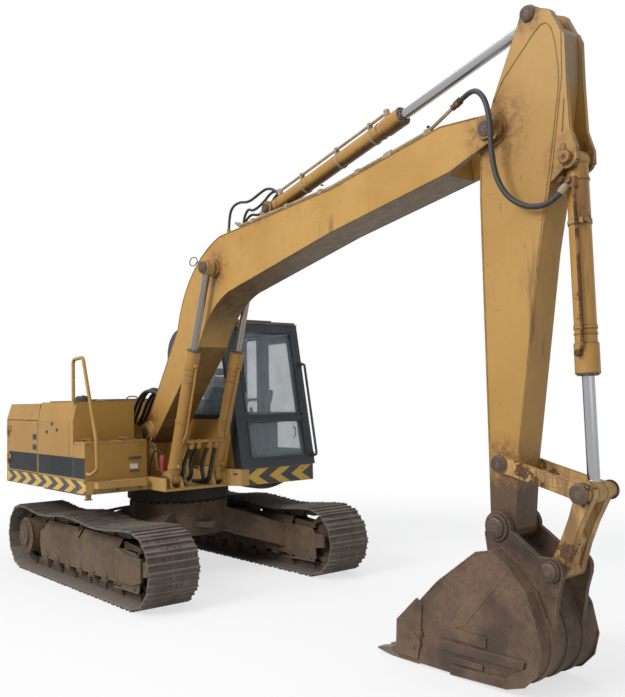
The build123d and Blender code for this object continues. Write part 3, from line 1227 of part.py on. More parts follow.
def front_end():
    """Boom, stick, bucket and everything that moves them."""
    save("boom", boom())
    save("boom_lines", boom_lines())
    save("stick_hose", stick_hose())
    boom_cylinders()
    stick_cylinder()
    save("stick", stick())
    save("rocker_links", rocker_links())
    save("bucket_link", bucket_link())
    bucket_cylinder()
    save("bucket", bucket())
    save("bucket_teeth", bucket_teeth())


undercarriage()
upper_structure()
cab()
front_end()
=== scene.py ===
"""Crawler excavator in worn yellow paint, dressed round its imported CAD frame.

Metres. +X points forward, +Y left and +Z up; the origin lies on the ground under the swing axis.
"""
from __future__ import annotations

import json
import logging
import random
from dataclasses import dataclass
from enum import Enum
from math import acos, atan2, copysign, cos, exp, hypot, pi, radians, sin, tan
from typing import Callable, Iterable, Sequence

import bmesh
import bpy
from mathutils import Matrix, Vector

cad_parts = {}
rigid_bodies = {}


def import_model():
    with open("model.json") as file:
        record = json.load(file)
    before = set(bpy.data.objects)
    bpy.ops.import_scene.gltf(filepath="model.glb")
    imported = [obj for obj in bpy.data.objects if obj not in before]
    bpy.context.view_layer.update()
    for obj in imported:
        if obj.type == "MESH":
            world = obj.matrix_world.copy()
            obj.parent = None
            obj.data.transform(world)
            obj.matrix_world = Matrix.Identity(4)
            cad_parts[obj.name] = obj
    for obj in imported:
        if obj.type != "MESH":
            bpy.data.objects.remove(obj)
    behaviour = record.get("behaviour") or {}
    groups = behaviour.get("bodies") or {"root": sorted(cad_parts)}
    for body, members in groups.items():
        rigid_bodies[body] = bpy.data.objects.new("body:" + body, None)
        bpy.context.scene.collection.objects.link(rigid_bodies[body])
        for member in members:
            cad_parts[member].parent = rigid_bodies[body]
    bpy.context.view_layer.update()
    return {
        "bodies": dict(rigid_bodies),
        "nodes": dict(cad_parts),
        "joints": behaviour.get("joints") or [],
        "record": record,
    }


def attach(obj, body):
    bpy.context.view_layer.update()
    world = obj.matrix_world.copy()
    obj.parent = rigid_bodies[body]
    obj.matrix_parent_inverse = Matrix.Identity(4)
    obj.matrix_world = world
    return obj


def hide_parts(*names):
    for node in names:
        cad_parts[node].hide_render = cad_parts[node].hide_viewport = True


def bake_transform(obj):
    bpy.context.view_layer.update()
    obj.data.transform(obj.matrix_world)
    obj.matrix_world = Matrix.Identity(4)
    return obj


LOG = logging.getLogger("excavator")
BEVEL_ANGLE = radians(40)
SHARP_ANGLE = radians(35)
ACROSS = (0, 1, 0)
UP = (0, 0, 1)

Item = bpy.types.Object
Socket = bpy.types.NodeSocket
Point = Sequence[float]
Pair = tuple[float, float]
Triple = tuple[float, float, float]
Outline = Sequence[Pair]
Colour = Triple


# Node trees


class Tree:
    """Shorthand for filling one node tree."""

    def __init__(self, tree: bpy.types.NodeTree) -> None:
        """Keeps the tree and empties it."""
        self.tree = tree
        tree.nodes.clear()

    def add(self, kind: str, inputs: dict | None = None, **settings) -> bpy.types.Node:
        """Adds a shader node.

        Args:
            kind: the node's type without the ShaderNode prefix.
            inputs: what goes into its sockets, by name or number: values or other sockets.
            settings: the node's own properties.

        Returns:
            The new node.
        """
        node = self.tree.nodes.new("ShaderNode" + kind)
        for name, value in settings.items():
            setattr(node, name, value)
        for name, value in (inputs or {}).items():
            self.feed(node.inputs[name], value)
        return node

    def feed(self, socket: Socket, value: object) -> None:
        """Links or sets one input socket."""
        if isinstance(value, Socket):
            self.tree.links.new(value, socket)
        elif isinstance(value, tuple) and len(value) == 3 and socket.type == "RGBA":
            socket.default_value = (*value, 1.0)
        else:
            socket.default_value = value

    def math(self, operation: str, first: object, second: object = 0.0, clamp: bool = False) -> Socket:
        """Returns what one operation makes of two numbers or sockets."""
        return self.add("Math", {0: first, 1: second}, operation=operation, use_clamp=clamp).outputs[0]

    def times(self, first: object, second: object, clamp: bool = False) -> Socket:
        """Returns a product."""
        return self.math("MULTIPLY", first, second, clamp)

    def plus(self, first: object, second: object, clamp: bool = False) -> Socket:
        """Returns a sum."""
        return self.math("ADD", first, second, clamp)

    def minus(self, first: object, second: object, clamp: bool = False) -> Socket:
        """Returns a difference."""
        return self.math("SUBTRACT", first, second, clamp)

    def measure(self, operation: str, first: object, second: object) -> Socket:
        """Returns the number that one operation makes of two vectors."""
        return self.add("VectorMath", {0: first, 1: second}, operation=operation).outputs["Value"]

    def split(self, vector: Socket) -> Sequence[Socket]:
        """Returns a vector's three parts."""
        return self.add("SeparateXYZ", {0: vector}).outputs

    def flat(self) -> Socket:
        """Returns the surface's point, seen from the side."""
        x, _, z = self.split(self.place())
        return self.add("CombineXYZ", {0: x, 2: z}).outputs[0]

    def normal(self) -> Socket:
        """Returns the surface's normal."""
        return self.add("NewGeometry").outputs["Normal"]

    def mix(self, share: object, first: object, second: object, blend: str = "MIX") -> Socket:
        """Returns one colour mixed from two by a share."""
        node = self.add("Mix", data_type="RGBA", blend_type=blend, clamp_factor=True)
        for index, value in ((0, share), (6, first), (7, second)):
            self.feed(node.inputs[index], value)
        return node.outputs[2]

    def step(self, value: object, low: float, high: float) -> Socket:
        """Returns 0 below low, 1 above high and a smooth rise between them."""
        inputs = {"Value": value, "From Min": low, "From Max": high}
        return self.add("MapRange", inputs, interpolation_type="SMOOTHSTEP").outputs[0]

    def noise(self, vector: object, scale: object, detail: float = 4.0, rough: float = 0.55) -> Socket:
        """Returns a noise value round one half."""
        inputs = {"Vector": vector, "Scale": scale, "Detail": detail, "Roughness": rough}
        return self.add("TexNoise", inputs).outputs["Fac"]

    def place(self) -> Socket:
        """Returns the point of the surface in the machine's rest frame, which rides with its piece."""
        return self.add("TexCoord").outputs["Object"]

    def scaled(self, vector: object, scale: Triple) -> Socket:
        """Returns a vector with its axes multiplied."""
        return self.add("VectorMath", {0: vector, 1: scale}, operation="MULTIPLY").outputs[0]

    def group(self, effect: "Effect", **inputs: float) -> Socket:
        """Places a shared effect with its own values and returns its one output."""
        node = self.add("Group", node_tree=effect.tree())
        for name, value in inputs.items():
            self.feed(node.inputs[name], value)
        return node.outputs[0]


class Effect(Enum):
    """Surface effects that several finishes share, each a node group built on first use."""

    EDGE_WEAR = "edge_wear"
    SPOTS = "spots"
    RUNS = "runs"
    DUST = "dust"
    SCRATCHES = "scratches"
    CAST_GRAIN = "cast_grain"
    SHEET = "sheet"

    def tree(self) -> bpy.types.NodeTree:
        """Returns the effect's node group."""
        made = bpy.data.node_groups.get(self.value)
        if made is None:
            made = bpy.data.node_groups.new(self.value, "ShaderNodeTree")
            getattr(EffectBuilder(made), self.value)()
        return made


class EffectBuilder:
    """Fills the node group of one effect."""

    def __init__(self, tree: bpy.types.NodeTree) -> None:
        """Starts an empty group."""
        self.nodes = Tree(tree)
        self.tree = tree

    def ports(self, output: str, **inputs: float) -> Sequence[Socket]:
        """Makes the group's sockets.

        Args:
            output: name of its one output.
            inputs: its inputs, all numbers, with their first values.

        Returns:
            What the group's inputs bring.
        """
        for name, value in inputs.items():
            socket = self.tree.interface.new_socket(name, in_out="INPUT", socket_type="NodeSocketFloat")
            socket.default_value = value
        self.tree.interface.new_socket(output, in_out="OUTPUT", socket_type="NodeSocketFloat")
        self.out = self.tree.nodes.new("NodeGroupOutput")
        return self.tree.nodes.new("NodeGroupInput").outputs

    def close(self, value: Socket) -> None:
        """Links the group's result."""
        self.nodes.feed(self.out.inputs[0], value)

    def edge_wear(self) -> None:
        """Mask of edges and corners, broken up by noise."""
        ports, n = self.ports("Mask", Radius=0.006, Amount=0.5, Scale=14.0), self.nodes
        round_normal = n.add("Bevel", {"Radius": ports["Radius"]}, samples=4).outputs[0]
        plain_normal = n.normal()
        dot = n.measure("DOT_PRODUCT", round_normal, plain_normal)
        edge = n.times(n.minus(1.0, dot), 9.0, True)
        grain = n.noise(n.place(), ports["Scale"], 6.0, 0.7)
        level = n.plus(n.times(edge, 0.6), n.times(grain, 0.8))
        limit = n.minus(1.08, n.times(ports["Amount"], 0.5))
        self.close(n.step(n.minus(level, limit), 0.0, 0.06))

    def spots(self) -> None:
        """Mask of irregular patches; a larger amount gives more of them."""
        ports, n = self.ports("Mask", Scale=6.0, Amount=0.3, Soft=0.03), self.nodes
        place = n.place()
        broad = n.noise(place, ports["Scale"], 8.0, 0.62)
        fine = n.noise(place, n.times(ports["Scale"], 9.0), 3.0, 0.6)
        level = n.plus(n.times(broad, 0.8), n.times(fine, 0.2))
        limit = n.minus(0.74, n.times(ports["Amount"], 0.36))
        over = n.minus(level, limit)
        self.close(n.math("DIVIDE", over, ports["Soft"], True))

    def runs(self) -> None:
        """Mask of stains that run down from where water leaves a surface."""
        ports, n = self.ports("Mask", Scale=16.0, Amount=0.4, Length=9.0), self.nodes
        x, y, z = n.split(n.place())
        low = n.math("DIVIDE", z, ports["Length"])
        vector = n.add("CombineXYZ", {0: x, 1: y, 2: low}).outputs[0]
        streak = n.noise(vector, ports["Scale"], 5.0, 0.6)
        patch = n.noise(n.place(), 1.7, 2.0, 0.5)
        level = n.times(streak, n.plus(patch, 0.5))
        limit = n.minus(0.72, n.times(ports["Amount"], 0.3))
        normal_z = n.split(n.normal())[2]
        upright = n.step(n.math("ABSOLUTE", normal_z), 0.85, 0.5)
        self.close(n.times(n.step(n.minus(level, limit), 0.0, 0.2), upright))

    def dust(self) -> None:
        """Mask of dust: on faces that look up, and thicker near the ground."""
        ports, n = self.ports("Mask", Height=1.2, Amount=0.5, Top=0.6), self.nodes
        height = n.split(n.place())[2]
        normal_z = n.split(n.normal())[2]
        low = n.minus(1.0, n.math("DIVIDE", height, ports["Height"]), True)
        top = n.times(n.step(normal_z, 0.35, 0.95), ports["Top"])
        level = n.times(n.plus(low, top), ports["Amount"])
        cloud = n.plus(n.noise(n.place(), 7.0, 7.0, 0.68), 0.35)
        self.close(n.times(level, cloud, True))

    def scratches(self) -> None:
        """Mask of short fine scrapes, mostly lengthways."""
        ports, n = self.ports("Mask", Scale=10.0, Amount=0.3), self.nodes
        level = None
        for stretch in ((1.0, 6.0, 14.0), (9.0, 8.0, 1.3)):
            line = n.noise(n.scaled(n.place(), stretch), ports["Scale"], 2.0, 0.4)
            level = line if level is None else n.math("MAXIMUM", level, line)
        patch = n.noise(n.place(), 2.3, 3.0, 0.6)
        level = n.plus(level, n.times(patch, 0.35))
        limit = n.minus(1.02, n.times(ports["Amount"], 0.2))
        self.close(n.step(n.minus(level, limit), 0.0, 0.03))

    def cast_grain(self) -> None:
        """Height of rough cast or rusted steel."""
        ports, n = self.ports("Height", Scale=60.0, Pits=0.5), self.nodes
        fine = n.noise(n.place(), ports["Scale"], 7.0, 0.7)
        pit_scale = n.times(ports["Scale"], 0.35)
        pits = n.add("TexVoronoi", {"Vector": n.place(), "Scale": pit_scale}).outputs["Distance"]
        pits = n.times(n.step(pits, 0.0, 0.35), ports["Pits"])
        self.close(n.plus(fine, pits))

    def sheet(self) -> None:
        """Height of painted plate: broad dents and fine orange peel."""
        ports, n = self.ports("Height", Dents=1.0, Peel=0.12), self.nodes
        dents = n.times(n.noise(n.place(), 2.2, 2.0, 0.4), ports["Dents"])
        peel = n.times(n.noise(n.place(), 180.0, 2.0, 0.5), ports["Peel"])
        self.close(n.plus(dents, peel))


# Finishes


def new_material(name: str) -> tuple[bpy.types.Material, Tree]:
    """Returns an empty node material and its tree."""
    material = bpy.data.materials.new(name)
    material.use_nodes = True
    return material, Tree(material.node_tree)


def finish_surface(tree: Tree, colour: Socket, rough: Socket, sockets: dict) -> None:
    """Adds the Principled BSDF with its sockets and links it to the output."""
    shader = tree.add("BsdfPrincipled", {"Base Color": colour, "Roughness": rough, **sockets})
    tree.add("OutputMaterial", {"Surface": shader.outputs[0]})


def bumped(tree: Tree, height: Socket, distance: float, strength: float = 1.0) -> Socket:
    """Returns a normal raised by a height in metres."""
    return tree.add("Bump", {"Height": height, "Distance": distance, "Strength": strength}).outputs[0]


@dataclass(frozen=True)
class Paint:
    """Machine paint over steel, faded, stained, chipped and rusting, with painted shade on faces that look
    down and, where set, on high faces that look forward.
    """

    name: str
    colour: Colour
    faded: Colour
    stains: float = 0.35
    rust: float = 0.3
    chips: float = 0.4
    dust: float = 0.35
    roughness: float = 0.48
    tone: Colour = (0.3, 0.17, 0.055)
    bare: Colour = (0.12, 0.052, 0.022)
    seep: Colour = (0.16, 0.068, 0.024)
    run: Colour = (0.15, 0.075, 0.028)
    scrape: Colour = (0.17, 0.1, 0.05)
    scale: Colour = (0.045, 0.026, 0.018)
    painted_front_shade: Colour = (0.2, 0.155, 0.11)
    shadow: Colour = (0.03, 0.02, 0.012)
    grime: Colour = (0.055, 0.036, 0.025)
    earth: Colour = (0.24, 0.165, 0.095)
    around: tuple[Triple, ...] = ()
    front_shade_height: float = 0.0
    grime_below: float = 0.0

    def pins(self, n: Tree) -> Socket:
        """Returns how near a point lies to a pin: 1 at its edge, 0 at three times its stain's radius."""
        near, flat = None, n.flat()
        for px, pz, radius in self.around:
            away = n.measure("DISTANCE", flat, (px, 0.0, pz))
            share = n.step(away, radius * 3.0, radius)
            near = share if near is None else n.math("MAXIMUM", near, share)
        return near

    def material(self) -> bpy.types.Material:
        """Returns the node material."""
        material, n = new_material(self.name)
        place = n.place()
        fade = n.step(n.noise(place, 0.9, 5.0, 0.6), 0.38, 0.66)
        colour = n.mix(fade, self.colour, self.faded)
        mottle = n.step(n.noise(place, 11.0, 6.0, 0.7), 0.35, 0.75)
        colour = n.mix(n.times(mottle, 0.22), colour, self.tone)
        if self.around:
            cloud = n.step(n.noise(place, 19.0, 6.0, 0.7), 0.4, 0.62)
            stain = n.times(self.pins(n), n.plus(n.times(cloud, 0.75), 0.12))
            colour = n.mix(stain, colour, self.seep)
        runs = n.group(Effect.RUNS, Amount=self.stains, Scale=13.0)
        colour = n.mix(n.times(runs, 0.75), colour, self.run)
        scrapes = n.group(Effect.SCRATCHES, Amount=self.chips, Scale=9.0)
        colour = n.mix(n.times(scrapes, 0.7), colour, self.scrape)
        spots = n.group(Effect.SPOTS, Scale=5.0, Amount=self.rust, Soft=0.02)
        worn = n.group(Effect.EDGE_WEAR, Amount=self.chips, Radius=0.009)
        bare = n.math("MAXIMUM", spots, worn)
        rust_mix = n.step(n.noise(place, 40.0, 4.0, 0.6), 0.35, 0.65)
        colour = n.mix(bare, colour, n.mix(rust_mix, self.scale, self.bare))
        facing = n.split(n.normal())
        # Painted shade: faces that look forward (+X), above a set height, are mixed towards a dark grey-brown
        # for the shade they are in.
        if self.front_shade_height:
            above = n.step(n.split(place)[2], self.front_shade_height, self.front_shade_height + 0.25)
            forward = n.times(n.step(facing[0], 0.3, 0.75), above)
            colour = n.mix(n.times(forward, 0.75), colour, self.painted_front_shade)
        # Painted shade: faces that look down are mixed towards a near-black brown.
        under = n.times(n.step(facing[2], -0.35, -0.85), n.plus(n.times(mottle, 0.2), 0.75))
        colour = n.mix(under, colour, self.shadow)
        if self.grime_below:
            height = n.plus(n.split(place)[2], n.times(mottle, 0.16))
            grime = n.step(height, self.grime_below, self.grime_below - 0.22)
            colour = n.mix(n.times(grime, 0.86), colour, self.grime)
        dust = n.group(Effect.DUST, Amount=self.dust, Height=1.5, Top=0.5)
        colour = n.mix(n.times(dust, 0.7), colour, self.earth)
        rough = n.plus(n.times(n.noise(place, 30.0, 4.0), 0.14), self.roughness - 0.07)
        rough = n.plus(rough, n.times(n.math("MAXIMUM", bare, dust), 0.3), True)
        height = n.minus(n.group(Effect.SHEET, Dents=1.0), n.times(bare, 0.12))
        normal = bumped(n, height, 0.004)
        finish_surface(n, colour, rough, {"Normal": normal, "Specular IOR Level": 0.32})
        return material


@dataclass(frozen=True)
class Steel:
    """Bare, cast or rusted steel with polished edges."""

    name: str
    dark: Colour
    light: Colour
    worn: Colour
    shine: float = 0.35
    dust: float = 0.5
    grain: float = 55.0
    metallic: float = 0.0
    roughness: float = 0.76
    broad: float = 3.1
    dirt: Colour = (0.185, 0.135, 0.092)
    stain: Colour = (0.05, 0.03, 0.02)

    def material(self) -> bpy.types.Material:
        """Returns the node material."""
        material, n = new_material(self.name)
        place = n.place()
        colour = n.mix(n.step(n.noise(place, self.broad, 7.0, 0.68), 0.36, 0.66), self.dark, self.light)
        fine = n.step(n.noise(place, 46.0, 5.0, 0.7), 0.35, 0.7)
        colour = n.mix(n.times(fine, 0.45), colour, self.dark)
        worn = n.group(Effect.EDGE_WEAR, Amount=self.shine, Radius=0.006, Scale=9.0)
        colour = n.mix(n.times(worn, 0.85), colour, self.worn)
        runs = n.group(Effect.RUNS, Amount=0.35, Scale=9.0)
        colour = n.mix(n.times(runs, 0.45), colour, self.stain)
        dust = n.group(Effect.DUST, Amount=self.dust, Height=1.0, Top=0.7)
        colour = n.mix(n.times(dust, 0.8), colour, self.dirt)
        rough = n.minus(n.plus(self.roughness, n.times(dust, 0.2)), n.times(worn, 0.25), True)
        normal = bumped(n, n.group(Effect.CAST_GRAIN, Scale=self.grain), 0.0035)
        sockets = {"Normal": normal, "Metallic": self.metallic, "Specular IOR Level": 0.3}
        finish_surface(n, colour, rough, sockets)
        return material


@dataclass(frozen=True)
class Rod:
    """Piston rod: bright plating, with painted steel round its eye."""

    name: str
    eye: Pair
    reach: float
    paint: Colour = (0.34, 0.2, 0.07)
    plating: Colour = (0.34, 0.35, 0.36)

    def material(self) -> bpy.types.Material:
        """Returns the node material."""
        material, n = new_material(self.name)
        away = n.measure("DISTANCE", n.flat(), (self.eye[0], 0.0, self.eye[1]))
        plated = n.step(away, self.reach, self.reach + 0.006)
        grime = n.group(Effect.SPOTS, Scale=9.0, Amount=0.35, Soft=0.1)
        bright = n.mix(n.times(grime, 0.4), self.plating, (0.22, 0.2, 0.17))
        dull = n.mix(n.group(Effect.SPOTS, Scale=12.0, Amount=0.55), self.paint, (0.09, 0.05, 0.03))
        colour = n.mix(plated, dull, bright)
        rough = n.minus(0.62, n.times(plated, n.minus(0.42, n.times(grime, 0.15))))
        height = n.times(n.group(Effect.CAST_GRAIN, Scale=50.0), n.minus(1.0, plated))
        sockets = {"Metallic": n.times(plated, 0.95), "Normal": bumped(n, height, 0.002)}
        finish_surface(n, colour, rough, sockets)
        return material


@dataclass(frozen=True)
class Soft:
    """Rubber, moulded plastic or woven cloth, told apart by grain and roughness."""

    name: str
    colour: Colour
    dusty: Colour
    roughness: float = 0.6
    grain: float = 220.0
    depth: float = 0.0008
    dust: float = 0.35
    sheen: float = 0.0

    def material(self) -> bpy.types.Material:
        """Returns the node material."""
        material, n = new_material(self.name)
        place = n.place()
        colour = n.mix(n.times(n.step(n.noise(place, 14.0, 6.0, 0.7), 0.4, 0.75), 0.5), self.colour,
                       self.dusty)
        dust = n.group(Effect.DUST, Amount=self.dust, Height=1.0, Top=0.8)
        colour = n.mix(dust, colour, (0.2, 0.16, 0.12))
        worn = n.group(Effect.EDGE_WEAR, Amount=0.4, Radius=0.004)
        colour = n.mix(n.times(worn, 0.35), colour, self.dusty)
        rough = n.plus(self.roughness, n.times(dust, 0.3), True)
        normal = bumped(n, n.noise(place, self.grain, 3.0, 0.6), self.depth)
        finish_surface(n, colour, rough, {"Normal": normal, "Sheen Weight": self.sheen})
        return material


@dataclass(frozen=True)
class Glass:
    """Tinted window glass with dust and wiped arcs."""

    name: str
    tint: Colour = (0.26, 0.35, 0.4)
    haze: float = 0.17

    def material(self) -> bpy.types.Material:
        """Returns the node material."""
        material, n = new_material(self.name)
        film = n.times(n.step(n.noise(n.place(), 3.5, 7.0, 0.7), 0.3, 0.8), self.haze)
        colour = n.mix(film, self.tint, (0.6, 0.6, 0.56))
        rough = n.plus(0.03, n.times(film, 0.35))
        alpha = n.plus(0.24, n.times(film, 0.6), True)
        finish_surface(n, colour, rough, {"Alpha": alpha, "IOR": 1.5, "Specular IOR Level": 0.9})
        return material


@dataclass(frozen=True)
class Hazard:
    """Yellow and black warning arrows, scuffed."""

    name: str
    along: Triple
    bend: float
    middle: float = 1.0
    pitch: float = 0.29
    yellow: Colour = (0.52, 0.33, 0.05)
    black: Colour = (0.02, 0.02, 0.021)

    def material(self) -> bpy.types.Material:
        """Returns the node material."""
        material, n = new_material(self.name)
        place = n.place()
        along = n.measure("DOT_PRODUCT", place, self.along)
        height = n.split(place)[2]
        away = n.math("ABSOLUTE", n.minus(height, self.middle))
        bent = n.plus(along, n.times(away, self.bend))
        turn = n.math("FRACT", n.math("DIVIDE", n.plus(bent, 20.0), self.pitch))
        black = n.math("GREATER_THAN", turn, 0.5)
        colour = n.mix(black, self.yellow, self.black)
        spots = n.group(Effect.SPOTS, Scale=14.0, Amount=0.42, Soft=0.03)
        colour = n.mix(n.times(spots, 0.8), colour, (0.2, 0.13, 0.06))
        runs = n.group(Effect.RUNS, Amount=0.5, Scale=20.0)
        colour = n.mix(n.times(runs, 0.6), colour, (0.16, 0.1, 0.05))
        rough = n.plus(0.45, n.times(spots, 0.3))
        finish_surface(n, colour, rough, {})
        return material


@dataclass(frozen=True)
class Lens:
    """Moulded lamp lens."""

    name: str
    colour: Colour
    roughness: float = 0.12

    def material(self) -> bpy.types.Material:
        """Returns the node material."""
        material, n = new_material(self.name)
        film = n.group(Effect.SPOTS, Scale=20.0, Amount=0.4, Soft=0.2)
        colour = n.mix(n.times(film, 0.4), self.colour, (0.3, 0.27, 0.22))
        rough = n.plus(self.roughness, n.times(film, 0.3))
        ribs = n.add("TexWave", {"Vector": n.place(), "Scale": 40.0, "Distortion": 0.0}).outputs["Fac"]
        finish_surface(n, colour, rough, {"Normal": bumped(n, ribs, 0.001, 0.4)})
        return material


YELLOW = (0.378, 0.204, 0.046)
YELLOW_PALE = (0.445, 0.256, 0.07)
BOOM_PINS = ((-0.01, 1.49, 0.12), (1.3, 3.075, 0.09), (2.01, 3.535, 0.07), (4.567, 3.562, 0.085))
STICK_PINS = ((4.567, 3.562, 0.13), (4.874, 4.231, 0.06), (5.113, 3.254, 0.07), (4.569, 1.38, 0.08),
              (4.559, 0.977, 0.17), (4.54, 1.18, 0.13))


class Finish(Enum):
    """The machine's finishes."""

    BODY = Paint("body_yellow", (0.31, 0.165, 0.031), (0.365, 0.203, 0.048), stains=0.4, rust=0.1, chips=0.3,
                 dust=0.14)
    BOOM = Paint("boom_yellow", YELLOW, YELLOW_PALE, stains=0.16, rust=0.2, chips=0.5, dust=0.3,
                 around=BOOM_PINS)
    STICK = Paint("stick_yellow", (0.345, 0.186, 0.042), (0.405, 0.233, 0.064), stains=0.3, rust=0.18,
                  chips=0.5, dust=0.3, around=STICK_PINS, front_shade_height=3.55, grime_below=1.46)
    # The barrels' yellow is darker than the boom's: painted shade, for the shade the cylinders lie in.
    BARREL = Paint("barrel_yellow", (0.335, 0.172, 0.036), (0.4, 0.221, 0.06), stains=0.5, rust=0.34,
                   chips=0.55, dust=0.2, roughness=0.4)
    WORN = Paint("worn_yellow", (0.42, 0.24, 0.075), (0.48, 0.3, 0.11), stains=0.8, rust=0.52, chips=0.95,
                 dust=0.4, roughness=0.6)
    FRAME = Paint("deck_yellow", (0.46, 0.27, 0.075), (0.5, 0.31, 0.1), stains=0.7, rust=0.35, chips=0.6,
                  dust=0.6, roughness=0.55)
    RUSTY = Paint("bracket_brown", (0.17, 0.085, 0.035), (0.28, 0.15, 0.06), stains=0.8, rust=0.7, chips=0.6,
                  dust=0.6, roughness=0.65)
    CAB = Paint("cab_grey", (0.016, 0.023, 0.031), (0.03, 0.04, 0.05), stains=0.0, rust=0.0, chips=0.05,
                dust=0.1, roughness=0.38, tone=(0.04, 0.05, 0.06), bare=(0.06, 0.055, 0.05))
    ROOF = Paint("cab_roof_grey", (0.085, 0.075, 0.06), (0.16, 0.13, 0.095), stains=0.2, rust=0.1, chips=0.1,
                 dust=0.8, roughness=0.6, tone=(0.12, 0.1, 0.08), bare=(0.06, 0.05, 0.04))
    BAND = Paint("black_band", (0.007, 0.011, 0.013), (0.015, 0.021, 0.024), stains=0.0, rust=0.0, chips=0.15,
                 dust=0.04, roughness=0.7, tone=(0.032, 0.037, 0.039), bare=(0.09, 0.075, 0.06))
    RED = Paint("red_cap", (0.24, 0.025, 0.018), (0.3, 0.05, 0.035), stains=0.3, rust=0.1, chips=0.2,
                dust=0.3, tone=(0.2, 0.03, 0.02))
    TRACK = Steel("track_shoe_steel", (0.03, 0.025, 0.022), (0.118, 0.098, 0.083), (0.25, 0.22, 0.19),
                  shine=0.85, dust=0.85, broad=6.5, dirt=(0.21, 0.172, 0.138), stain=(0.032, 0.025, 0.02))
    CHAIN = Steel("chain_steel", (0.03, 0.024, 0.019), (0.085, 0.06, 0.042), (0.22, 0.17, 0.13), dust=0.6)
    GREASE = Steel("greasy_steel", (0.014, 0.012, 0.01), (0.045, 0.032, 0.024), (0.1, 0.08, 0.06), dust=0.15)
    UNDER = Steel("undercarriage_steel", (0.045, 0.028, 0.018), (0.15, 0.092, 0.055), (0.22, 0.16, 0.11),
                  dust=0.75)
    BUCKET = Steel("bucket_steel", (0.046, 0.03, 0.024), (0.18, 0.108, 0.068), (0.25, 0.19, 0.14), shine=0.6,
                   dust=0.3, grain=38.0, broad=2.2)
    PIN = Steel("pin_steel", (0.05, 0.034, 0.027), (0.125, 0.085, 0.062), (0.28, 0.23, 0.19), shine=0.6,
                dust=0.3, metallic=0.2, roughness=0.6)
    BRIGHT = Steel("worn_edge_steel", (0.12, 0.105, 0.095), (0.24, 0.21, 0.185), (0.42, 0.39, 0.36),
                   shine=0.8, dust=0.3, metallic=0.5, roughness=0.5)
    LINE = Steel("line_steel", (0.22, 0.17, 0.1), (0.36, 0.29, 0.19), (0.45, 0.41, 0.35), shine=0.5, dust=0.2,
                 grain=90.0, roughness=0.5)
    RUBBER = Soft("hose_rubber_finish", (0.009, 0.009, 0.009), (0.026, 0.024, 0.022), roughness=0.5,
                  dust=0.12)
    TRIM = Soft("moulded_trim", (0.03, 0.031, 0.033), (0.07, 0.068, 0.064), roughness=0.55, grain=400.0)
    GRIT = Soft("grip_grit", (0.035, 0.034, 0.032), (0.09, 0.085, 0.075), roughness=0.95, grain=420.0,
                depth=0.003)
    SEAT = Soft("seat_cloth", (0.05, 0.052, 0.06), (0.11, 0.11, 0.115), roughness=0.9, grain=650.0,
                depth=0.0012, sheen=0.4)
    GLASS = Glass("cab_glass_pane")
    LAMP = Lens("lamp_lens", (0.7, 0.7, 0.66))
    STRIPES_SIDE = Hazard("stripes_side", (1.0, 0.0, 0.0), 2.4)
    STRIPES_END = Hazard("stripes_end", (0.0, 1.0, 0.0), -1.7, middle=1.018)
    BOOM_ROD = Rod("boom_rod_finish", (1.3, 3.075), 0.074, plating=(0.24, 0.215, 0.185))
    STICK_ROD = Rod("stick_rod_finish", (4.874, 4.231), 0.068)
    BUCKET_ROD = Rod("bucket_rod_finish", (5.155, 1.232), 0.068)

    def surface(self) -> bpy.types.Material:
        """Returns this finish's material, made on its first use."""
        return bpy.data.materials.get(self.value.name) or self.value.material()


# Mesh building


def side_axes(axis: Vector) -> tuple[Vector, Vector]:
    """Returns two unit vectors square to an axis and to each other."""
    helper = Vector(ACROSS) if abs(axis.y) < 0.9 else Vector(UP)
    first = axis.cross(helper).normalized()
    return first, axis.cross(first).normalized()


def spokes(count: int, shift: float = 0.0) -> list[Pair]:
    """Returns cosine and sine of equal steps round a circle, all moved by a share of a step."""
    return [(cos(2 * pi * (k + shift) / count), sin(2 * pi * (k + shift) / count)) for k in range(count)]


def circle(centre: Vector, axis: Vector, radius: float, sides: int) -> list[Vector]:
    """Returns points of a circle round an axis."""
    first, second = side_axes(axis)
    return [centre + radius * (c * first + s * second) for c, s in spokes(sides)]


def rounded(points: Outline, radius: float, steps: int = 6) -> list[Pair]:
    """Returns a closed outline with its corners rounded."""
    result = []
    for before, here, after in zip((*points[-1:], *points[:-1]), points, (*points[1:], *points[:1])):
        corner = Vector(here)
        back, ahead = (Vector(before) - corner).normalized(), (Vector(after) - corner).normalized()
        cut = radius / tan(back.angle(ahead) / 2)
        first, last = corner + back * cut, corner + ahead * cut
        for k in range(steps + 1):
            t = k / steps
            result.append(tuple(first * (1 - t) ** 2 + corner * 2 * t * (1 - t) + last * t ** 2))
    return result


def inset(outline: Outline, depth: float) -> list[Pair]:
    """Returns a closed outline, listed anticlockwise, drawn in by a depth."""
    result = []
    for before, here, after in zip((*outline[-1:], *outline[:-1]), outline, (*outline[1:], *outline[:1])):
        along = (Vector(after) - Vector(here)).normalized() + (Vector(here) - Vector(before)).normalized()
        along.normalize()
        result.append((here[0] - along.y * depth, here[1] + along.x * depth))
    return result


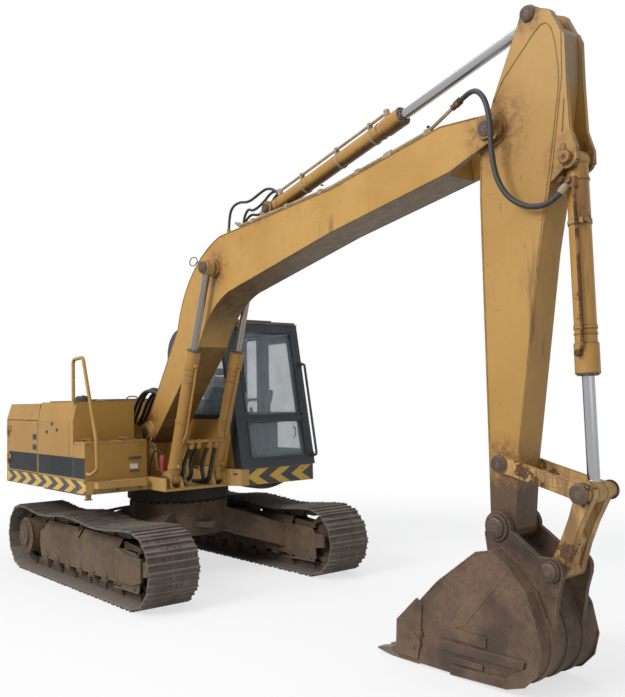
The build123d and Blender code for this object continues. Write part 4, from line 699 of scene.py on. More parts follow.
def arc(first: Pair, middle: Pair, last: Pair, steps: int = 16) -> list[Pair]:
    """Returns points on the circle through three points, from the first to the last."""
    (ax, ay), (bx, by), (cx, cy) = first, middle, last
    scale = 2 * (ax * (by - cy) + bx * (cy - ay) + cx * (ay - by))
    a2, b2, c2 = ax * ax + ay * ay, bx * bx + by * by, cx * cx + cy * cy
    ux = (a2 * (by - cy) + b2 * (cy - ay) + c2 * (ay - by)) / scale
    uy = (a2 * (cx - bx) + b2 * (ax - cx) + c2 * (bx - ax)) / scale
    radius = hypot(ax - ux, ay - uy)
    start, via, end = (atan2(y - uy, x - ux) for x, y in (first, middle, last))
    turn = (end - start) % (2 * pi)
    if (via - start) % (2 * pi) > turn:
        turn -= 2 * pi
    return [(ux + radius * cos(start + turn * k / steps), uy + radius * sin(start + turn * k / steps))
            for k in range(steps + 1)]


@dataclass(frozen=True)
class Bend:
    """Two bodies that a flexible piece runs between, and the points between which it turns."""

    first: str
    second: str
    start: Triple
    end: Triple


class Form:
    """A mesh in the making, in the machine's frame."""

    def __init__(self) -> None:
        """Starts empty."""
        self.mesh = bmesh.new()

    def loft(self, rings: Iterable[Iterable[Point]], closed: bool = False, caps: bool = True) -> None:
        """Skins rings of equal count.

        Args:
            rings: lists of points, in order.
            closed: also join the last ring to the first.
            caps: close the two ends.
        """
        loops = [[self.mesh.verts.new(tuple(point)) for point in ring] for ring in rings]
        count = len(loops[0])
        pairs = list(zip(loops, loops[1:] + loops[:1] if closed else loops[1:]))
        for one, two in pairs:
            for i in range(count):
                j = (i + 1) % count
                self.mesh.faces.new((one[i], one[j], two[j], two[i]))
        if caps and not closed:
            self.mesh.faces.new(list(reversed(loops[0])))
            self.mesh.faces.new(loops[-1])

    def block(self, corner: Point, opposite: Point) -> None:
        """Adds a block between two opposite corners."""
        (x0, x1), (y0, y1), (z0, z1) = (sorted(pair) for pair in zip(corner, opposite))
        ring = [(x0, y0), (x1, y0), (x1, y1), (x0, y1)]
        self.loft([[(x, y, z) for x, y in ring] for z in (z0, z1)])

    def plate(self, outline: Outline, y0: float, y1: float) -> None:
        """Adds a plate seen from the side, from (x, z) points."""
        self.loft([[(x, y, z) for x, z in outline] for y in sorted((y0, y1))])

    def turned(self, start: Point, axis: Point, profile: Outline, sides: int = 24) -> None:
        """Adds a turned form.

        Args:
            start: point on the axis where the profile's distances begin.
            axis: direction of the axis.
            profile: (distance along, radius) pairs.
            sides: number of sides round the axis.
        """
        axis = Vector(axis).normalized()
        self.loft([circle(Vector(start) + axis * along, axis, radius, sides) for along, radius in profile])

    def rod(self, start: Point, end: Point, radius: float, sides: int = 20) -> None:
        """Adds a round bar."""
        span = Vector(end) - Vector(start)
        self.turned(start, span, [(0, radius), (span.length, radius)], sides)

    def tube(self, path: Sequence[Point], radius: float, sides: int = 12) -> None:
        """Adds a round tube along a path."""
        points = [Vector(point) for point in path]
        rings, first = [], None
        for i, point in enumerate(points):
            ahead = points[min(i + 1, len(points) - 1)] - points[max(i - 1, 0)]
            axis = ahead.normalized()
            first = side_axes(axis)[0] if first is None else (first - axis * first.dot(axis)).normalized()
            second = axis.cross(first)
            rings.append([point + radius * (c * first + s * second) for c, s in spokes(sides)])
        self.loft(rings)

    def pipe(self, route: Sequence[Point], radius: float, sides: int = 12) -> None:
        """Adds a round tube along a route's smooth curve."""
        self.tube(nurbs_points(route), radius, sides)

    def collar(self, centre: Point, axis: Point, inner: float, outer: float, length: float,
               sides: int = 32) -> None:
        """Adds a ring round an axis, from a point on it."""
        axis = Vector(axis).normalized()
        profile = ((0, inner), (0, outer - length * 0.15), (length * 0.15, outer), (length * 0.85, outer),
                   (length, outer - length * 0.15), (length, inner))
        self.loft([circle(Vector(centre) + axis * along, axis, radius, sides) for along, radius in profile],
                  closed=True)

    def bead(self, start: Point, end: Point, radius: float, rough: random.Random) -> None:
        """Adds a weld bead between two points, with its ripples."""
        start, span = Vector(start), Vector(end) - Vector(start)
        count = max(3, int(span.length / 0.011))
        profile = [(span.length * k / count, radius * rough.uniform(0.75, 1.1)) for k in range(count + 1)]
        self.turned(start, span, profile, 6)

    def seam(self, line: Outline, y: float, radius: float, rough: random.Random) -> None:
        """Adds weld beads from point to point of a line that is seen from the side."""
        for (x0, z0), (x1, z1) in zip(line, line[1:]):
            self.bead((x0, y, z0), (x1, y, z1), radius, rough)

    def hoop(self, centre: Point, axis: Point, radius: float, thick: float, sides: int = 40) -> None:
        """Adds a round ring of round wire or weld."""
        axis, centre = Vector(axis).normalized(), Vector(centre)
        first, second = side_axes(axis)
        rings = []
        for c, s in spokes(sides):
            out = c * first + s * second
            rings.append([centre + out * (radius + thick * u) + axis * thick * v for u, v in spokes(6)])
        self.loft(rings, closed=True)

    def gasket(self, outline: Outline, place: Callable[[float, float, float], Point], width: float,
               depth: float) -> None:
        """Adds a flat frame along an outline.

        Args:
            outline: closed (u, v) outline of its outer edge.
            place: returns the point of a (u, v) place at a height over the surface.
            width: width of the frame, inward.
            depth: how far it stands out.
        """
        inner = inset(outline, width)
        layers = ((outline, -0.003), (outline, depth * 0.7), (inset(outline, width * 0.25), depth),
                  (inset(outline, width * 0.75), depth), (inner, depth * 0.7), (inner, -0.003))
        self.loft([[place(u, v, w) for u, v in loop] for loop, w in layers], closed=True)

    def fitting(self, point: Point, away: Point, radius: float) -> None:
        """Adds a hose's crimped sleeve, which points away from its nut."""
        away = Vector(away).normalized()
        self.turned(point, away, [(0, radius * 1.1), (radius * 0.3, radius * 1.35),
                                  (radius * 2.8, radius * 1.35), (radius * 3.1, radius * 1.05)], 18)
        self.turned(Vector(point) - away * radius * 1.5, away,
                    [(0, radius * 1.25), (radius * 1.5, radius * 1.25)], 6)

    def bolt(self, centre: Point, axis: Point, size: float = 0.012) -> None:
        """Adds a hexagon head on its washer; size is the head's half width."""
        axis = Vector(axis).normalized()
        self.turned(centre, axis, [(0, size * 1.45), (size * 0.2, size * 1.45), (size * 0.25, size * 1.3)],
                    16)
        self.turned(centre, axis, [(0, size * 1.15), (size * 1.0, size * 1.15), (size * 1.2, size * 0.95)], 6)

    def item(self, name: str) -> Item:
        """Ends the form: makes it an object of the scene, with its faces looking outward."""
        bmesh.ops.recalc_face_normals(self.mesh, faces=self.mesh.faces)
        data = bpy.data.meshes.new(name)
        self.mesh.to_mesh(data)
        self.mesh.free()
        item = bpy.data.objects.new(name, data)
        bpy.context.scene.collection.objects.link(item)
        return item

    def lines(self, lines: Iterable[Outline], y: float, radius: float) -> None:
        """Adds thin weld lines along routes seen from the side."""
        for line in lines:
            self.tube([(x, y, z) for x, z in line], radius, 6)

    def piece(self, name: str, body: "str | Bend", finish: Finish, bevel: float = 0.0) -> Item:
        """Turns the mesh into a dressed piece that rides on a body, or that stays unattached where it is.

        Args:
            name: the piece's name.
            body: the CAD body that carries it, or a Bend, whose bodies and points are not used: the piece
                then rides on no body.
            finish: its finish.
            bevel: width of its rounded edges, or 0 for none.

        Returns:
            The new object.
        """
        item = self.item(name)
        data = item.data
        if bevel:
            edge = item.modifiers.new("edges", "BEVEL")
            edge.width, edge.segments, edge.limit_method, edge.angle_limit = bevel, 2, "ANGLE", BEVEL_ANGLE
        data.shade_smooth()
        data.set_sharp_from_angle(angle=SHARP_ANGLE)
        data.materials.append(finish.surface())
        if isinstance(body, Bend):
            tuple(body.start)
            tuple(body.end)
            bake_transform(item)
        else:
            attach(item, body)
        LOG.info("piece %s on %s in %s: %d faces", name, body, finish.name.lower(), len(data.polygons))
        return item


def nurbs_points(route: Sequence[Point], resolution: int = 8) -> list[Vector]:
    """Returns points along the NURBS spline that has a route's points as its control points."""
    data = bpy.data.curves.new("route", "CURVE")
    data.dimensions, data.resolution_u = "3D", resolution
    spline = data.splines.new("NURBS")
    spline.points.add(len(route) - 1)
    for point, place in zip(spline.points, route):
        point.co = (*place, 1.0)
    spline.order_u = 3
    spline.use_endpoint_u = True
    item = bpy.data.objects.new("route", data)
    mesh = bpy.data.meshes.new_from_object(item)
    points = [vertex.co.copy() for vertex in mesh.vertices]
    bpy.data.meshes.remove(mesh)
    bpy.data.objects.remove(item)
    bpy.data.curves.remove(data)
    return points


def dress(nodes: Iterable[str], finish: Finish) -> None:
    """Gives CAD nodes their finish."""
    for name in nodes:
        item = FRAME["nodes"][name]
        item.data.materials.clear()
        item.data.materials.append(finish.surface())
        LOG.info("node %s in %s", name, finish.name.lower())


FRAME: dict = {}

BOOM_Y = -0.16
FOOT = (-0.01, 1.49)
TIP = (4.567, 3.562)
BOOM_BASE = (0.595, 1.04)
BOOM_EYE = (1.3, 3.075)
STICK_BASE = (2.01, 3.535)
STICK_EYE = (4.874, 4.231)
BUCKET_BASE = (5.113, 3.254)
ROCKER = (4.569, 1.38)
LINK_TOP = (5.155, 1.232)
LINK_LOW = (4.95, 0.755)
BUCKET_PIN = (4.559, 0.977)


# Undercarriage


@dataclass
class Track:
    """One crawler track: shoes with three grousers on a chain of links, pins and bushings."""

    side: str
    centre: float
    length: float = 3.34
    height: float = 0.71
    width: float = 0.5
    shoes: int = 42
    plate: float = 0.012
    grouser: float = 0.02
    sag: float = 0.045
    carrier_x: float = -0.086
    rail_offset: float = 0.052
    profile: tuple = ((0.0, -4), (0.03, 1), (0.055, 17), (0.075, 20), (0.115, 19.5), (0.14, 3), (0.2, 0.5),
                      (0.4, 0), (0.445, 3), (0.465, 18), (0.48, 20), (0.52, 19.5), (0.55, 3), (0.6, 0.5),
                      (0.78, 0), (0.83, 3), (0.85, 18), (0.87, 20), (0.91, 19.5), (0.94, 4), (1.02, -3))

    def __post_init__(self) -> None:
        """Works out the loop's radius, wheel positions and pitch."""
        self.radius = self.height / 2 - self.grouser
        self.wheel_x = (self.length - self.height) / 2
        self.wheel_z = self.height / 2
        self.loop = 4 * self.wheel_x + 2 * pi * self.radius
        self.pitch = self.loop / self.shoes

    def sag_at(self, x: float) -> float:
        """Returns the drop of the upper run at x."""
        low, high = (-self.wheel_x, self.carrier_x) if x < self.carrier_x else (self.carrier_x, self.wheel_x)
        return self.sag * (1 - cos(2 * pi * (x - low) / (high - low))) / 2

    def point(self, distance: float, inward: float = 0.0) -> Pair:
        """Returns (x, z) on the shoes' outer face after a distance round the loop, moved inward."""
        run, turn, radius = 2 * self.wheel_x, pi * self.radius, self.radius - inward
        distance %= self.loop
        if distance < run:
            return distance - self.wheel_x, self.wheel_z - radius
        if distance < run + turn:
            angle = (distance - run) / self.radius
            return self.wheel_x + radius * sin(angle), self.wheel_z - radius * cos(angle)
        if distance < 2 * run + turn:
            x = self.wheel_x - (distance - run - turn)
            return x, self.wheel_z + radius - self.sag_at(x)
        angle = (distance - 2 * run - turn) / self.radius
        return -self.wheel_x - radius * sin(angle), self.wheel_z + radius * cos(angle)

    def frame_at(self, index: int) -> tuple[Vector, Vector, Vector]:
        """Returns a shoe's start, its span along the loop and its outward direction."""
        start, end = (Vector((*self.point(k * self.pitch), 0)) for k in (index, index + 1))
        along = Vector((end.x - start.x, 0, end.y - start.y))
        out = Vector((along.z, 0, -along.x)).normalized()
        return Vector((start.x, 0, start.y)), along, out

    def shoe(self, form: Form, index: int, wear: random.Random) -> None:
        """Adds one shoe plate with slightly uneven wear."""
        start, along, out = self.frame_at(index)
        half = self.width / 2
        tilt = wear.uniform(-0.0015, 0.0015)
        low = wear.uniform(-0.003, 0.0)
        rings = []
        for share, inset in ((-1.0, 0.01), (-0.965, 0.0), (0.965, 0.0), (1.0, 0.01)):
            y = self.centre + share * half + tilt
            outer = [start + along * s + out * (h / 1000 + (low if h > 5 else 0)) for s, h in self.profile]
            inner = [start + along * s + out * (-self.plate) for s, _ in reversed(self.profile)]
            middle = start + along * 0.5 - out * self.plate / 2
            ring = [point + (middle - point) * inset for point in outer + inner]
            rings.append([(point.x, y, point.z) for point in ring])
        form.loft(rings)

    def link(self, form: Form, index: int, offset: float, half: float) -> None:
        """Adds one chain link: round ends over the pins and a waist between them."""
        start, along, out = self.frame_at(index)
        shape = ((-0.17, 16), (-0.1, 13), (0.2, 13), (0.8, 13), (1.1, 13), (1.17, 16), (1.19, 50), (1.14, 82),
                 (1.0, 98), (0.78, 98), (0.62, 92), (0.38, 92), (0.22, 98), (0.0, 98), (-0.14, 82),
                 (-0.19, 50))
        points = [start + along * s - out * (depth / 1000) for s, depth in shape]
        y = self.centre + offset
        form.plate([(p.x, p.z) for p in points], y - half, y + half)

    def build(self) -> None:
        """Makes the shoes with their bolts, and the chain."""
        wear = random.Random(11 if self.side == "right" else 12)
        shoes, bolts, chain = Form(), Form(), Form()
        for index in range(self.shoes):
            self.shoe(shoes, index, wear)
            start, along, out = self.frame_at(index)
            for share in (0.27, 0.7):
                for offset in (-0.085, -0.035, 0.035, 0.085):
                    seat = start + along * share + Vector((0, self.centre + offset, 0)) - out * 0.001
                    bolts.bolt(seat, out, 0.0095)
            step = 0.009 if index % 2 else -0.009
            for offset in (-self.rail_offset, self.rail_offset):
                self.link(chain, index, offset + step * (1 if offset > 0 else -1), 0.0085)
            for reach, radius in ((0.076, 0.021), (0.034, 0.03)):
                centre = start - out * 0.056
                chain.rod(centre + Vector((0, self.centre - reach, 0)),
                          centre + Vector((0, self.centre + reach, 0)), radius, 16)
        plates = shoes.piece(f"track_shoes_{self.side}", "undercarriage", Finish.TRACK, bevel=0.0022)
        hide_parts(f"track_{self.side}")
        bolts.piece(f"shoe_bolts_{self.side}", "undercarriage", Finish.CHAIN)
        chain.piece(f"track_chain_{self.side}", "undercarriage", Finish.CHAIN)


@dataclass
class Undercarriage:
    """Tracks, track frames, car body and swing ring."""

    gauge: float = 2.01
    plate_out: float = 0.134
    roller_pitch: float = 0.285
    roller_z: float = 0.192
    drive_x: float = -1.315
    wheel_z: float = 0.355

    def frame_cover(self, side: str, centre: float) -> None:
        """Adds the sloping covers over the track frame, with their slots, and the side plate's opening."""
        cover, slots = Form(), Form()
        for out in (-1, 1):
            root, crest = centre + out * self.plate_out, centre + out * 0.084
            ring = [(root, 0.466), (root + out * 0.004, 0.474), (crest, 0.562), (crest - out * 0.006, 0.556)]
            cover.loft([[(x, y, z) for y, z in ring] for x in (-0.88, -0.02)])
            cover.loft([[(x, y, z) for y, z in ring] for x in (0.02, 0.86)])
            for x in (-0.55, 0.2, 0.6):
                low, high = root - out * 0.016, root - out * 0.034
                ring = [(x, low, 0.504), (x + 0.1, low, 0.504), (x + 0.1, high, 0.536), (x, high, 0.536)]
                slots.loft([[(px + lean, y, z) for px, y, z in ring] for lean in (0.0, 0.002)])
        outer = centre + copysign(self.plate_out, centre)
        for x in (-0.62, 0.0, 0.42):
            slots.block((x, outer - copysign(0.01, centre), 0.285),
                        (x + 0.075, outer + copysign(0.0015, centre), 0.362))
        cover.piece(f"frame_cover_{side}", "undercarriage", Finish.UNDER, bevel=0.002)
        slots.piece(f"frame_openings_{side}", "undercarriage", Finish.TRIM)

    def idler_guards(self, side: str, centre: float) -> None:
        """Adds the worn guard plates on both sides of the front idler, with their weld seams."""
        form, rough = Form(), random.Random(31)
        for out in (-1, 1):
            face = centre + out * self.plate_out
            outline = [(0.785, 0.122), (1.255, 0.132), (1.278, 0.19), (1.262, 0.44), (1.215, 0.474),
                       (0.785, 0.482)]
            form.plate(rounded(outline, 0.018, 3), face - 0.006, face + 0.006)
            for line in (((0.787, 0.13), (0.787, 0.476)), ((0.79, 0.482), (1.21, 0.475)),
                         ((0.79, 0.123), (1.25, 0.132))):
                form.seam(line, face + out * 0.005, 0.006, rough)
            for z in (0.225, 0.345):
                form.block((0.99, face, z), (1.15, face + out * 0.016, z + 0.02))
            form.plate([(0.8, 0.47), (1.2, 0.466), (1.13, 0.512), (0.9, 0.534), (0.8, 0.534)],
                       centre + out * 0.06, centre + out * 0.072)
            for x in (0.84, 0.93, 1.2):
                for z in (0.168, 0.43):
                    form.bolt((x, face + out * 0.006, z), (0, out, 0), 0.013)
        form.piece(f"idler_guards_{side}", "undercarriage", Finish.UNDER, bevel=0.002)

    def roller_mounts(self, side: str, centre: float) -> None:
        """Adds the rollers' end caps, their clamps under the frame and the bolts."""
        form = Form()
        for i in range(-3, 4):
            x = i * self.roller_pitch
            for out in (-1, 1):
                face = centre + out * self.plate_out
                form.turned((x, face, self.roller_z), (0, out, 0),
                            [(0, 0.052), (0.01, 0.052), (0.014, 0.046), (0.014, 0.02), (0.02, 0.016)], 20)
                for dx in (-0.066, 0.066):
                    form.bolt((x + dx, face, self.roller_z + 0.004), (0, out, 0), 0.011)
                form.block((x - 0.06, face - out * 0.05, 0.136), (x + 0.06, face + out * 0.006, 0.166))
                for dx in (-0.038, 0.038):
                    form.bolt((x + dx, face - out * 0.022, 0.136), (0, 0, -1), 0.009)
        form.piece(f"roller_mounts_{side}", "undercarriage", Finish.UNDER, bevel=0.002)

    def drive_cover(self, side: str, centre: float) -> None:
        """Adds the bolts and rim of the final drive, and the travel motor with its hoses."""
        out = 1 if centre > 0 else -1
        form = Form()
        for count, radius, reach, size in ((16, 0.16, 0.175, 0.011), (8, 0.085, 0.205, 0.009)):
            for c, s in spokes(count):
                seat = (self.drive_x + radius * c, centre + out * reach, self.wheel_z + radius * s)
                form.bolt(seat, (0, out, 0), size)
        form.collar((self.drive_x, centre + out * 0.168, self.wheel_z), (0, out, 0), 0.18, 0.196, 0.01)
        form.turned((self.drive_x, centre + out * 0.204, self.wheel_z), (0, out, 0),
                    [(0, 0.045), (0.008, 0.045), (0.01, 0.038)], 24)
        motor = centre - out * 0.134
        form.turned((self.drive_x, motor, self.wheel_z), (0, -out, 0),
                    [(0, 0.15), (0.05, 0.15), (0.06, 0.12), (0.2, 0.115), (0.22, 0.09), (0.24, 0.088)], 28)
        for c, s in spokes(12):
            seat = (self.drive_x + 0.135 * c, motor - out * 0.05, self.wheel_z + 0.135 * s)
            form.bolt(seat, (0, -out, 0), 0.009)
        form.piece(f"drive_bolts_{side}", "undercarriage", Finish.UNDER, bevel=0.0015)
        hoses = Form()
        inner = motor - out * 0.15
        for dz, dx in ((0.0, 0.0), (0.055, 0.03)):
            route = [(self.drive_x + 0.09, inner, 0.42 + dz),
                     (self.drive_x + 0.22, inner - out * 0.01, 0.46 + dz), (-0.85, out * 0.5, 0.53 + dz),
                     (-0.6 + dx, out * 0.3, 0.6 + dz), (-0.38, out * 0.18, 0.62 + dz)]
            hoses.pipe(route, 0.016)
            hoses.fitting(route[0], (1, 0, 0.3), 0.016)
        hoses.piece(f"travel_hoses_{side}", "undercarriage", Finish.RUBBER)

    def centre(self) -> None:
        """Adds ring bolts, weld seams and the inspection cover on the car body."""
        form, rough = Form(), random.Random(5)
        for c, s in spokes(36):
            form.bolt((0.496 * c, 0.496 * s, 0.76), UP, 0.014)
        form.hoop((0, 0, 0.762), UP, 0.466, 0.008, 72)
        for side in (-1, 1):
            for front in (-1, 1):
                root, foot = Vector((front * 0.25, side * 0.46, 0)), Vector((front * 0.56, side * 0.868, 0))
                for dx in (0.2, -0.2):
                    form.bead((root.x + dx * 0.85, root.y, 0.648), (foot.x + dx, foot.y, 0.462), 0.006, rough)
                form.bead((foot.x - 0.21, foot.y, 0.46), (foot.x + 0.21, foot.y, 0.46), 0.008, rough)
        form.turned((0.515, 0.0, 0.645), (1, 0, 0), [(0, 0.065), (0.01, 0.065), (0.013, 0.06)], 28)
        for c, s in spokes(6):
            form.bolt((0.527, 0.048 * c, 0.645 + 0.048 * s), (1, 0, 0), 0.007)
        form.piece("car_body_bolts", "undercarriage", Finish.UNDER)

    def build(self) -> None:
        """Makes both tracks and dresses what stays on the ground."""
        for side, sign in (("right", -1), ("left", 1)):
            centre = sign * self.gauge / 2
            Track(side, centre).build()
            dress([f"track_frame_{side}", f"drive_{side}"], Finish.UNDER)
            dress([f"track_wheels_{side}"], Finish.CHAIN)
            self.frame_cover(side, centre)
            self.idler_guards(side, centre)
            self.roller_mounts(side, centre)
            self.drive_cover(side, centre)
        dress(["car_body"], Finish.UNDER)
        dress(["swing_ring_fixed"], Finish.CHAIN)
        self.centre()


# Upper structure


@dataclass
class House:
    """Revolving frame, counterweight, hood, doors, tank and tool box."""

    half_width: float = 1.235
    tail_radius: float = 2.155
    strip_depth: float = 0.0005
    foot_hoses: tuple[float, ...] = (-0.255, -0.195, -0.125, -0.065)

    def build(self) -> None:
        """Dresses the nodes and adds bands, stripes and fittings."""
        dress(["hood", "hood_lid", "side_door_right", "side_door_left", "counterweight", "fuel_tank",
               "tool_box", "tool_box_lid", "handrail"], Finish.BODY)
        dress(["main_frame"], Finish.FRAME)
        dress(["swing_ring_turning"], Finish.GREASE)
        dress(["engine_block"], Finish.CHAIN)
        dress(["belly_pan"], Finish.UNDER)
        self.bands()
        self.side_fittings()
        self.louvres()
        self.lid_fittings()
        self.tail_fittings()
        self.tank_fittings()
        self.tool_box_fittings()
        self.deck_fittings()
        self.deck_hoses()

    def tail(self, radius: float) -> list[Pair]:
        """Returns plan points round the tail, from the right side to the left."""
        corner = acos((radius ** 2 - self.half_width ** 2) ** 0.5 / radius)
        steps = 24
        return [(-radius * cos(corner * k / steps), radius * sin(corner * k / steps))
                for k in range(-steps, steps + 1)]

    def strip(self, plan: Outline, z0: float, z1: float, name: str, body: str, finish: Finish) -> None:
        """Adds a painted strip, hardly proud of the sheet, along plan points."""
        form = Form()
        rings = []
        for i, (x, y) in enumerate(plan):
            before, after = plan[max(i - 1, 0)], plan[min(i + 1, len(plan) - 1)]
            direction = Vector((after[0] - before[0], after[1] - before[1])).normalized()
            nx, ny = direction.y * self.strip_depth, -direction.x * self.strip_depth
            inner, outer = (x - nx, y - ny), (x + nx, y + ny)
            rings.append([(*inner, z0), (*outer, z0), (*outer, z1), (*inner, z1)])
        form.loft(rings)
        form.piece(name, body, finish)

    def bands(self) -> None:
        """Adds the black band and the hazard stripes round the house."""
        hw = self.half_width
        low, high = 1.082, 1.282
        self.strip([(-1.686, -hw), (-0.85, -hw)], low, high, "band_door_right", "side_door_right",
                   Finish.BAND)
        self.strip([(-0.676, hw), (-1.686, hw)], low, high, "band_door_left", "side_door_left", Finish.BAND)
        self.strip([(-0.812, -hw), (0.086, -hw)], low, high, "band_tank", "upper", Finish.BAND)
        self.strip([(0.094, -hw), (0.356, -hw)], low, high, "band_tool_box", "upper", Finish.BAND)
        low, high = 0.937, 1.06
        self.strip([(-1.73, -hw), (0.38, -hw)], low, high, "stripes_right", "upper", Finish.STRIPES_SIDE)
        self.strip([(-0.62, hw), (-1.73, hw)], low, high, "stripes_left", "upper", Finish.STRIPES_SIDE)
        tail = [(x, -y) for x, y in self.tail(self.tail_radius)]
        self.strip(tail, low, high, "stripes_tail", "upper", Finish.STRIPES_END)
        self.strip([(0.87, 0.33), (0.87, 1.178)], low, 1.1, "stripes_cab", "upper", Finish.STRIPES_END)

    def latch(self, form: Form, x: float, z: float, side: int) -> None:
        """Adds one flush latch: a dished plate with its paddle and key disc."""
        y = side * self.half_width
        form.block((x - 0.05, y - 0.004, z - 0.03), (x + 0.05, y + 0.004, z + 0.03))
        form.block((x - 0.034, y, z - 0.018), (x + 0.014, y + side * 0.011, z + 0.016))
        form.turned((x + 0.032, y + side * 0.003, z), (0, side, 0),
                    [(0, 0.011), (0.005, 0.011), (0.006, 0.009)], 16)

    def side_fittings(self) -> None:
        """Adds the side doors' latches, and the plugs and seam on the tank's side."""
        for side, name, x, top in ((-1, "right", -0.92, 1.46), (1, "left", -0.76, 1.5)):
            form = Form()
            for z in (top, 1.35):
                self.latch(form, x, z, side)
            form.piece(f"door_latches_{name}", f"side_door_{name}", Finish.TRIM, bevel=0.0015)
        marks = Form()
        for x, z in ((-0.574, 1.519), (-0.439, 1.605), (-0.31, 1.544)):
            marks.turned((x, -self.half_width, z), (0, -1, 0), [(0, 0.02), (0.004, 0.02), (0.005, 0.016)], 18)
            marks.bolt((x, -self.half_width - 0.004, z), (0, -1, 0), 0.007)
        marks.block((-0.012, -self.half_width - 0.0012, 1.29), (-0.006, -self.half_width + 0.002, 1.63))
        marks.piece("tank_side_plugs", "upper", Finish.TRIM)

    def louvres(self) -> None:
        """Adds two rows of pressed louvres on the left side door."""
        form, y = Form(), self.half_width
        for x0 in (-1.6, -1.16):
            for k in range(9):
                z = 1.33 + 0.03 * k
                lip = [(y - 0.002, z + 0.017), (y + 0.013, z + 0.004), (y + 0.014, z), (y + 0.011, z),
                       (y - 0.002, z + 0.012)]
                rings = [[(x, y + (py - y) * share, pz) for py, pz in lip]
                         for x, share in ((x0, 0.05), (x0 + 0.02, 1.0), (x0 + 0.33, 1.0), (x0 + 0.35, 0.05))]
                form.loft(rings)
        form.piece("door_louvres_left", "side_door_left", Finish.BODY, bevel=0.001)

    def lid_fittings(self) -> None:
        """Adds the engine lid's handles and intake grille."""
        form = Form()
        top = 1.8413
        for y in (-0.35, 0.35):
            grip = ((-0.08, -0.004), (-0.08, 0.045), (0.08, 0.045), (0.08, -0.004))
            form.pipe([(-1.735, y + dy, top + dz) for dy, dz in grip], 0.008, 10)
        form.piece("lid_handles", "hood_lid", Finish.TRIM)
        grille = Form()
        for k in range(12):
            x = -1.6 + 0.045 * k
            bar = ((0.0, -0.001), (0.034, -0.001), (0.022, 0.01), (0.006, 0.012))
            grille.plate([(x + dx, top + dz) for dx, dz in bar], -0.45, 0.45)
        for y in (-0.475, 0.455):
            grille.block((-1.63, y, top - 0.001), (-1.045, y + 0.02, top + 0.014))
        grille.piece("lid_grille", "hood_lid", Finish.BAND, bevel=0.001)

    def tail_fittings(self) -> None:
        """Adds hoist sockets, cast lines and edge seams on the counterweight."""
        form, rough = Form(), random.Random(9)
        for angle in (-0.3, 0.3):
            out = Vector((-cos(angle), sin(angle), 0))
            seat = out * (self.tail_radius - 0.016) + Vector((0, 0, 1.52))
            form.collar(seat, out, 0.024, 0.048, 0.018)
            form.turned(seat - out * 0.006, out, [(0, 0.026), (0.006, 0.026), (0.007, 0.02)], 20)
        for z in (1.64, 1.067):
            form.tube([(x, y, z) for x, y in self.tail(self.tail_radius - 0.0022)], 0.0022, 6)
        for side in (-1, 1):
            form.bead((-1.7, side * 1.2345, 1.1), (-1.7, side * 1.2345, 1.62), 0.002, rough)
        form.piece("tail_fittings", "upper", Finish.WORN)

    def tank_fittings(self) -> None:
        """Adds the ribbed filler cap and the anti-slip strips on the tank and the tool box lid."""
        form = Form()
        cap = Vector((-0.42, -0.9, 1.873))
        form.turned(cap, UP, [(-0.045, 0.086), (-0.036, 0.086), (-0.034, 0.074), (0.0, 0.074),
                              (0.014, 0.07), (0.018, 0.052), (0.018, 0.02), (0.024, 0.016)], 36)
        for c, s in spokes(18):
            rib = cap + Vector((0.073 * c, 0.073 * s, 0))
            form.rod(rib - Vector((0, 0, 0.03)), rib + Vector((0, 0, 0.004)), 0.005, 8)
        form.piece("filler_cap", "upper", Finish.TRIM)
        grip = Form()
        for x in (-0.74, -0.24, -0.06):
            grip.block((x, -1.13, 1.8275), (x + 0.1, -0.66, 1.8305))
        grip.piece("grip_strips_tank", "upper", Finish.GRIT)
        steps = Form()
        for y in (-1.1, -0.8):
            steps.block((0.16, y, 1.435), (0.32, y + 0.2, 1.4378))
        steps.piece("grip_strips_tool_lid", "tool_box_lid", Finish.GRIT)

    def tool_box_fittings(self) -> None:
        """Adds the work lamp, slots and lid catches of the tool box."""
        x = 0.358
        dark, frame, lens = Form(), Form(), Form()
        for y0, y1, z0, z1 in ((-0.775, -0.62, 1.235, 1.278), (-0.775, -0.65, 1.113, 1.137)):
            dark.block((x - 0.01, y0, z0), (x + 0.0012, y1, z1))
            frame.gasket(rounded([(y0, z0), (y1, z0), (y1, z1), (y0, z1)], 0.01),
                         lambda u, v, w: (x + w, u, v), 0.008, 0.003)
        outline = rounded([(-0.772, 1.143), (-0.668, 1.143), (-0.668, 1.212), (-0.772, 1.212)], 0.008)
        frame.gasket(outline, lambda u, v, w: (x + w, u, v), 0.008, 0.014)
        lens.block((x - 0.005, -0.766, 1.149), (x + 0.006, -0.674, 1.206))
        for k in range(9):
            y = -0.762 + 0.0105 * k
            lens.rod((x + 0.006, y, 1.15), (x + 0.006, y, 1.205), 0.0022, 6)
        for k in range(5):
            z = 1.155 + 0.011 * k
            lens.rod((x + 0.007, -0.765, z), (x + 0.007, -0.675, z), 0.0018, 6)
        for y in (-1.15, -0.65):
            frame.block((x - 0.002, y - 0.022, 1.385), (x + 0.01, y + 0.022, 1.418))
        dark.piece("tool_box_slots", "upper", Finish.TRIM)
        frame.piece("tool_box_trim", "upper", Finish.BODY, bevel=0.001)
        lens.piece("tool_box_lamp", "upper", Finish.LAMP)

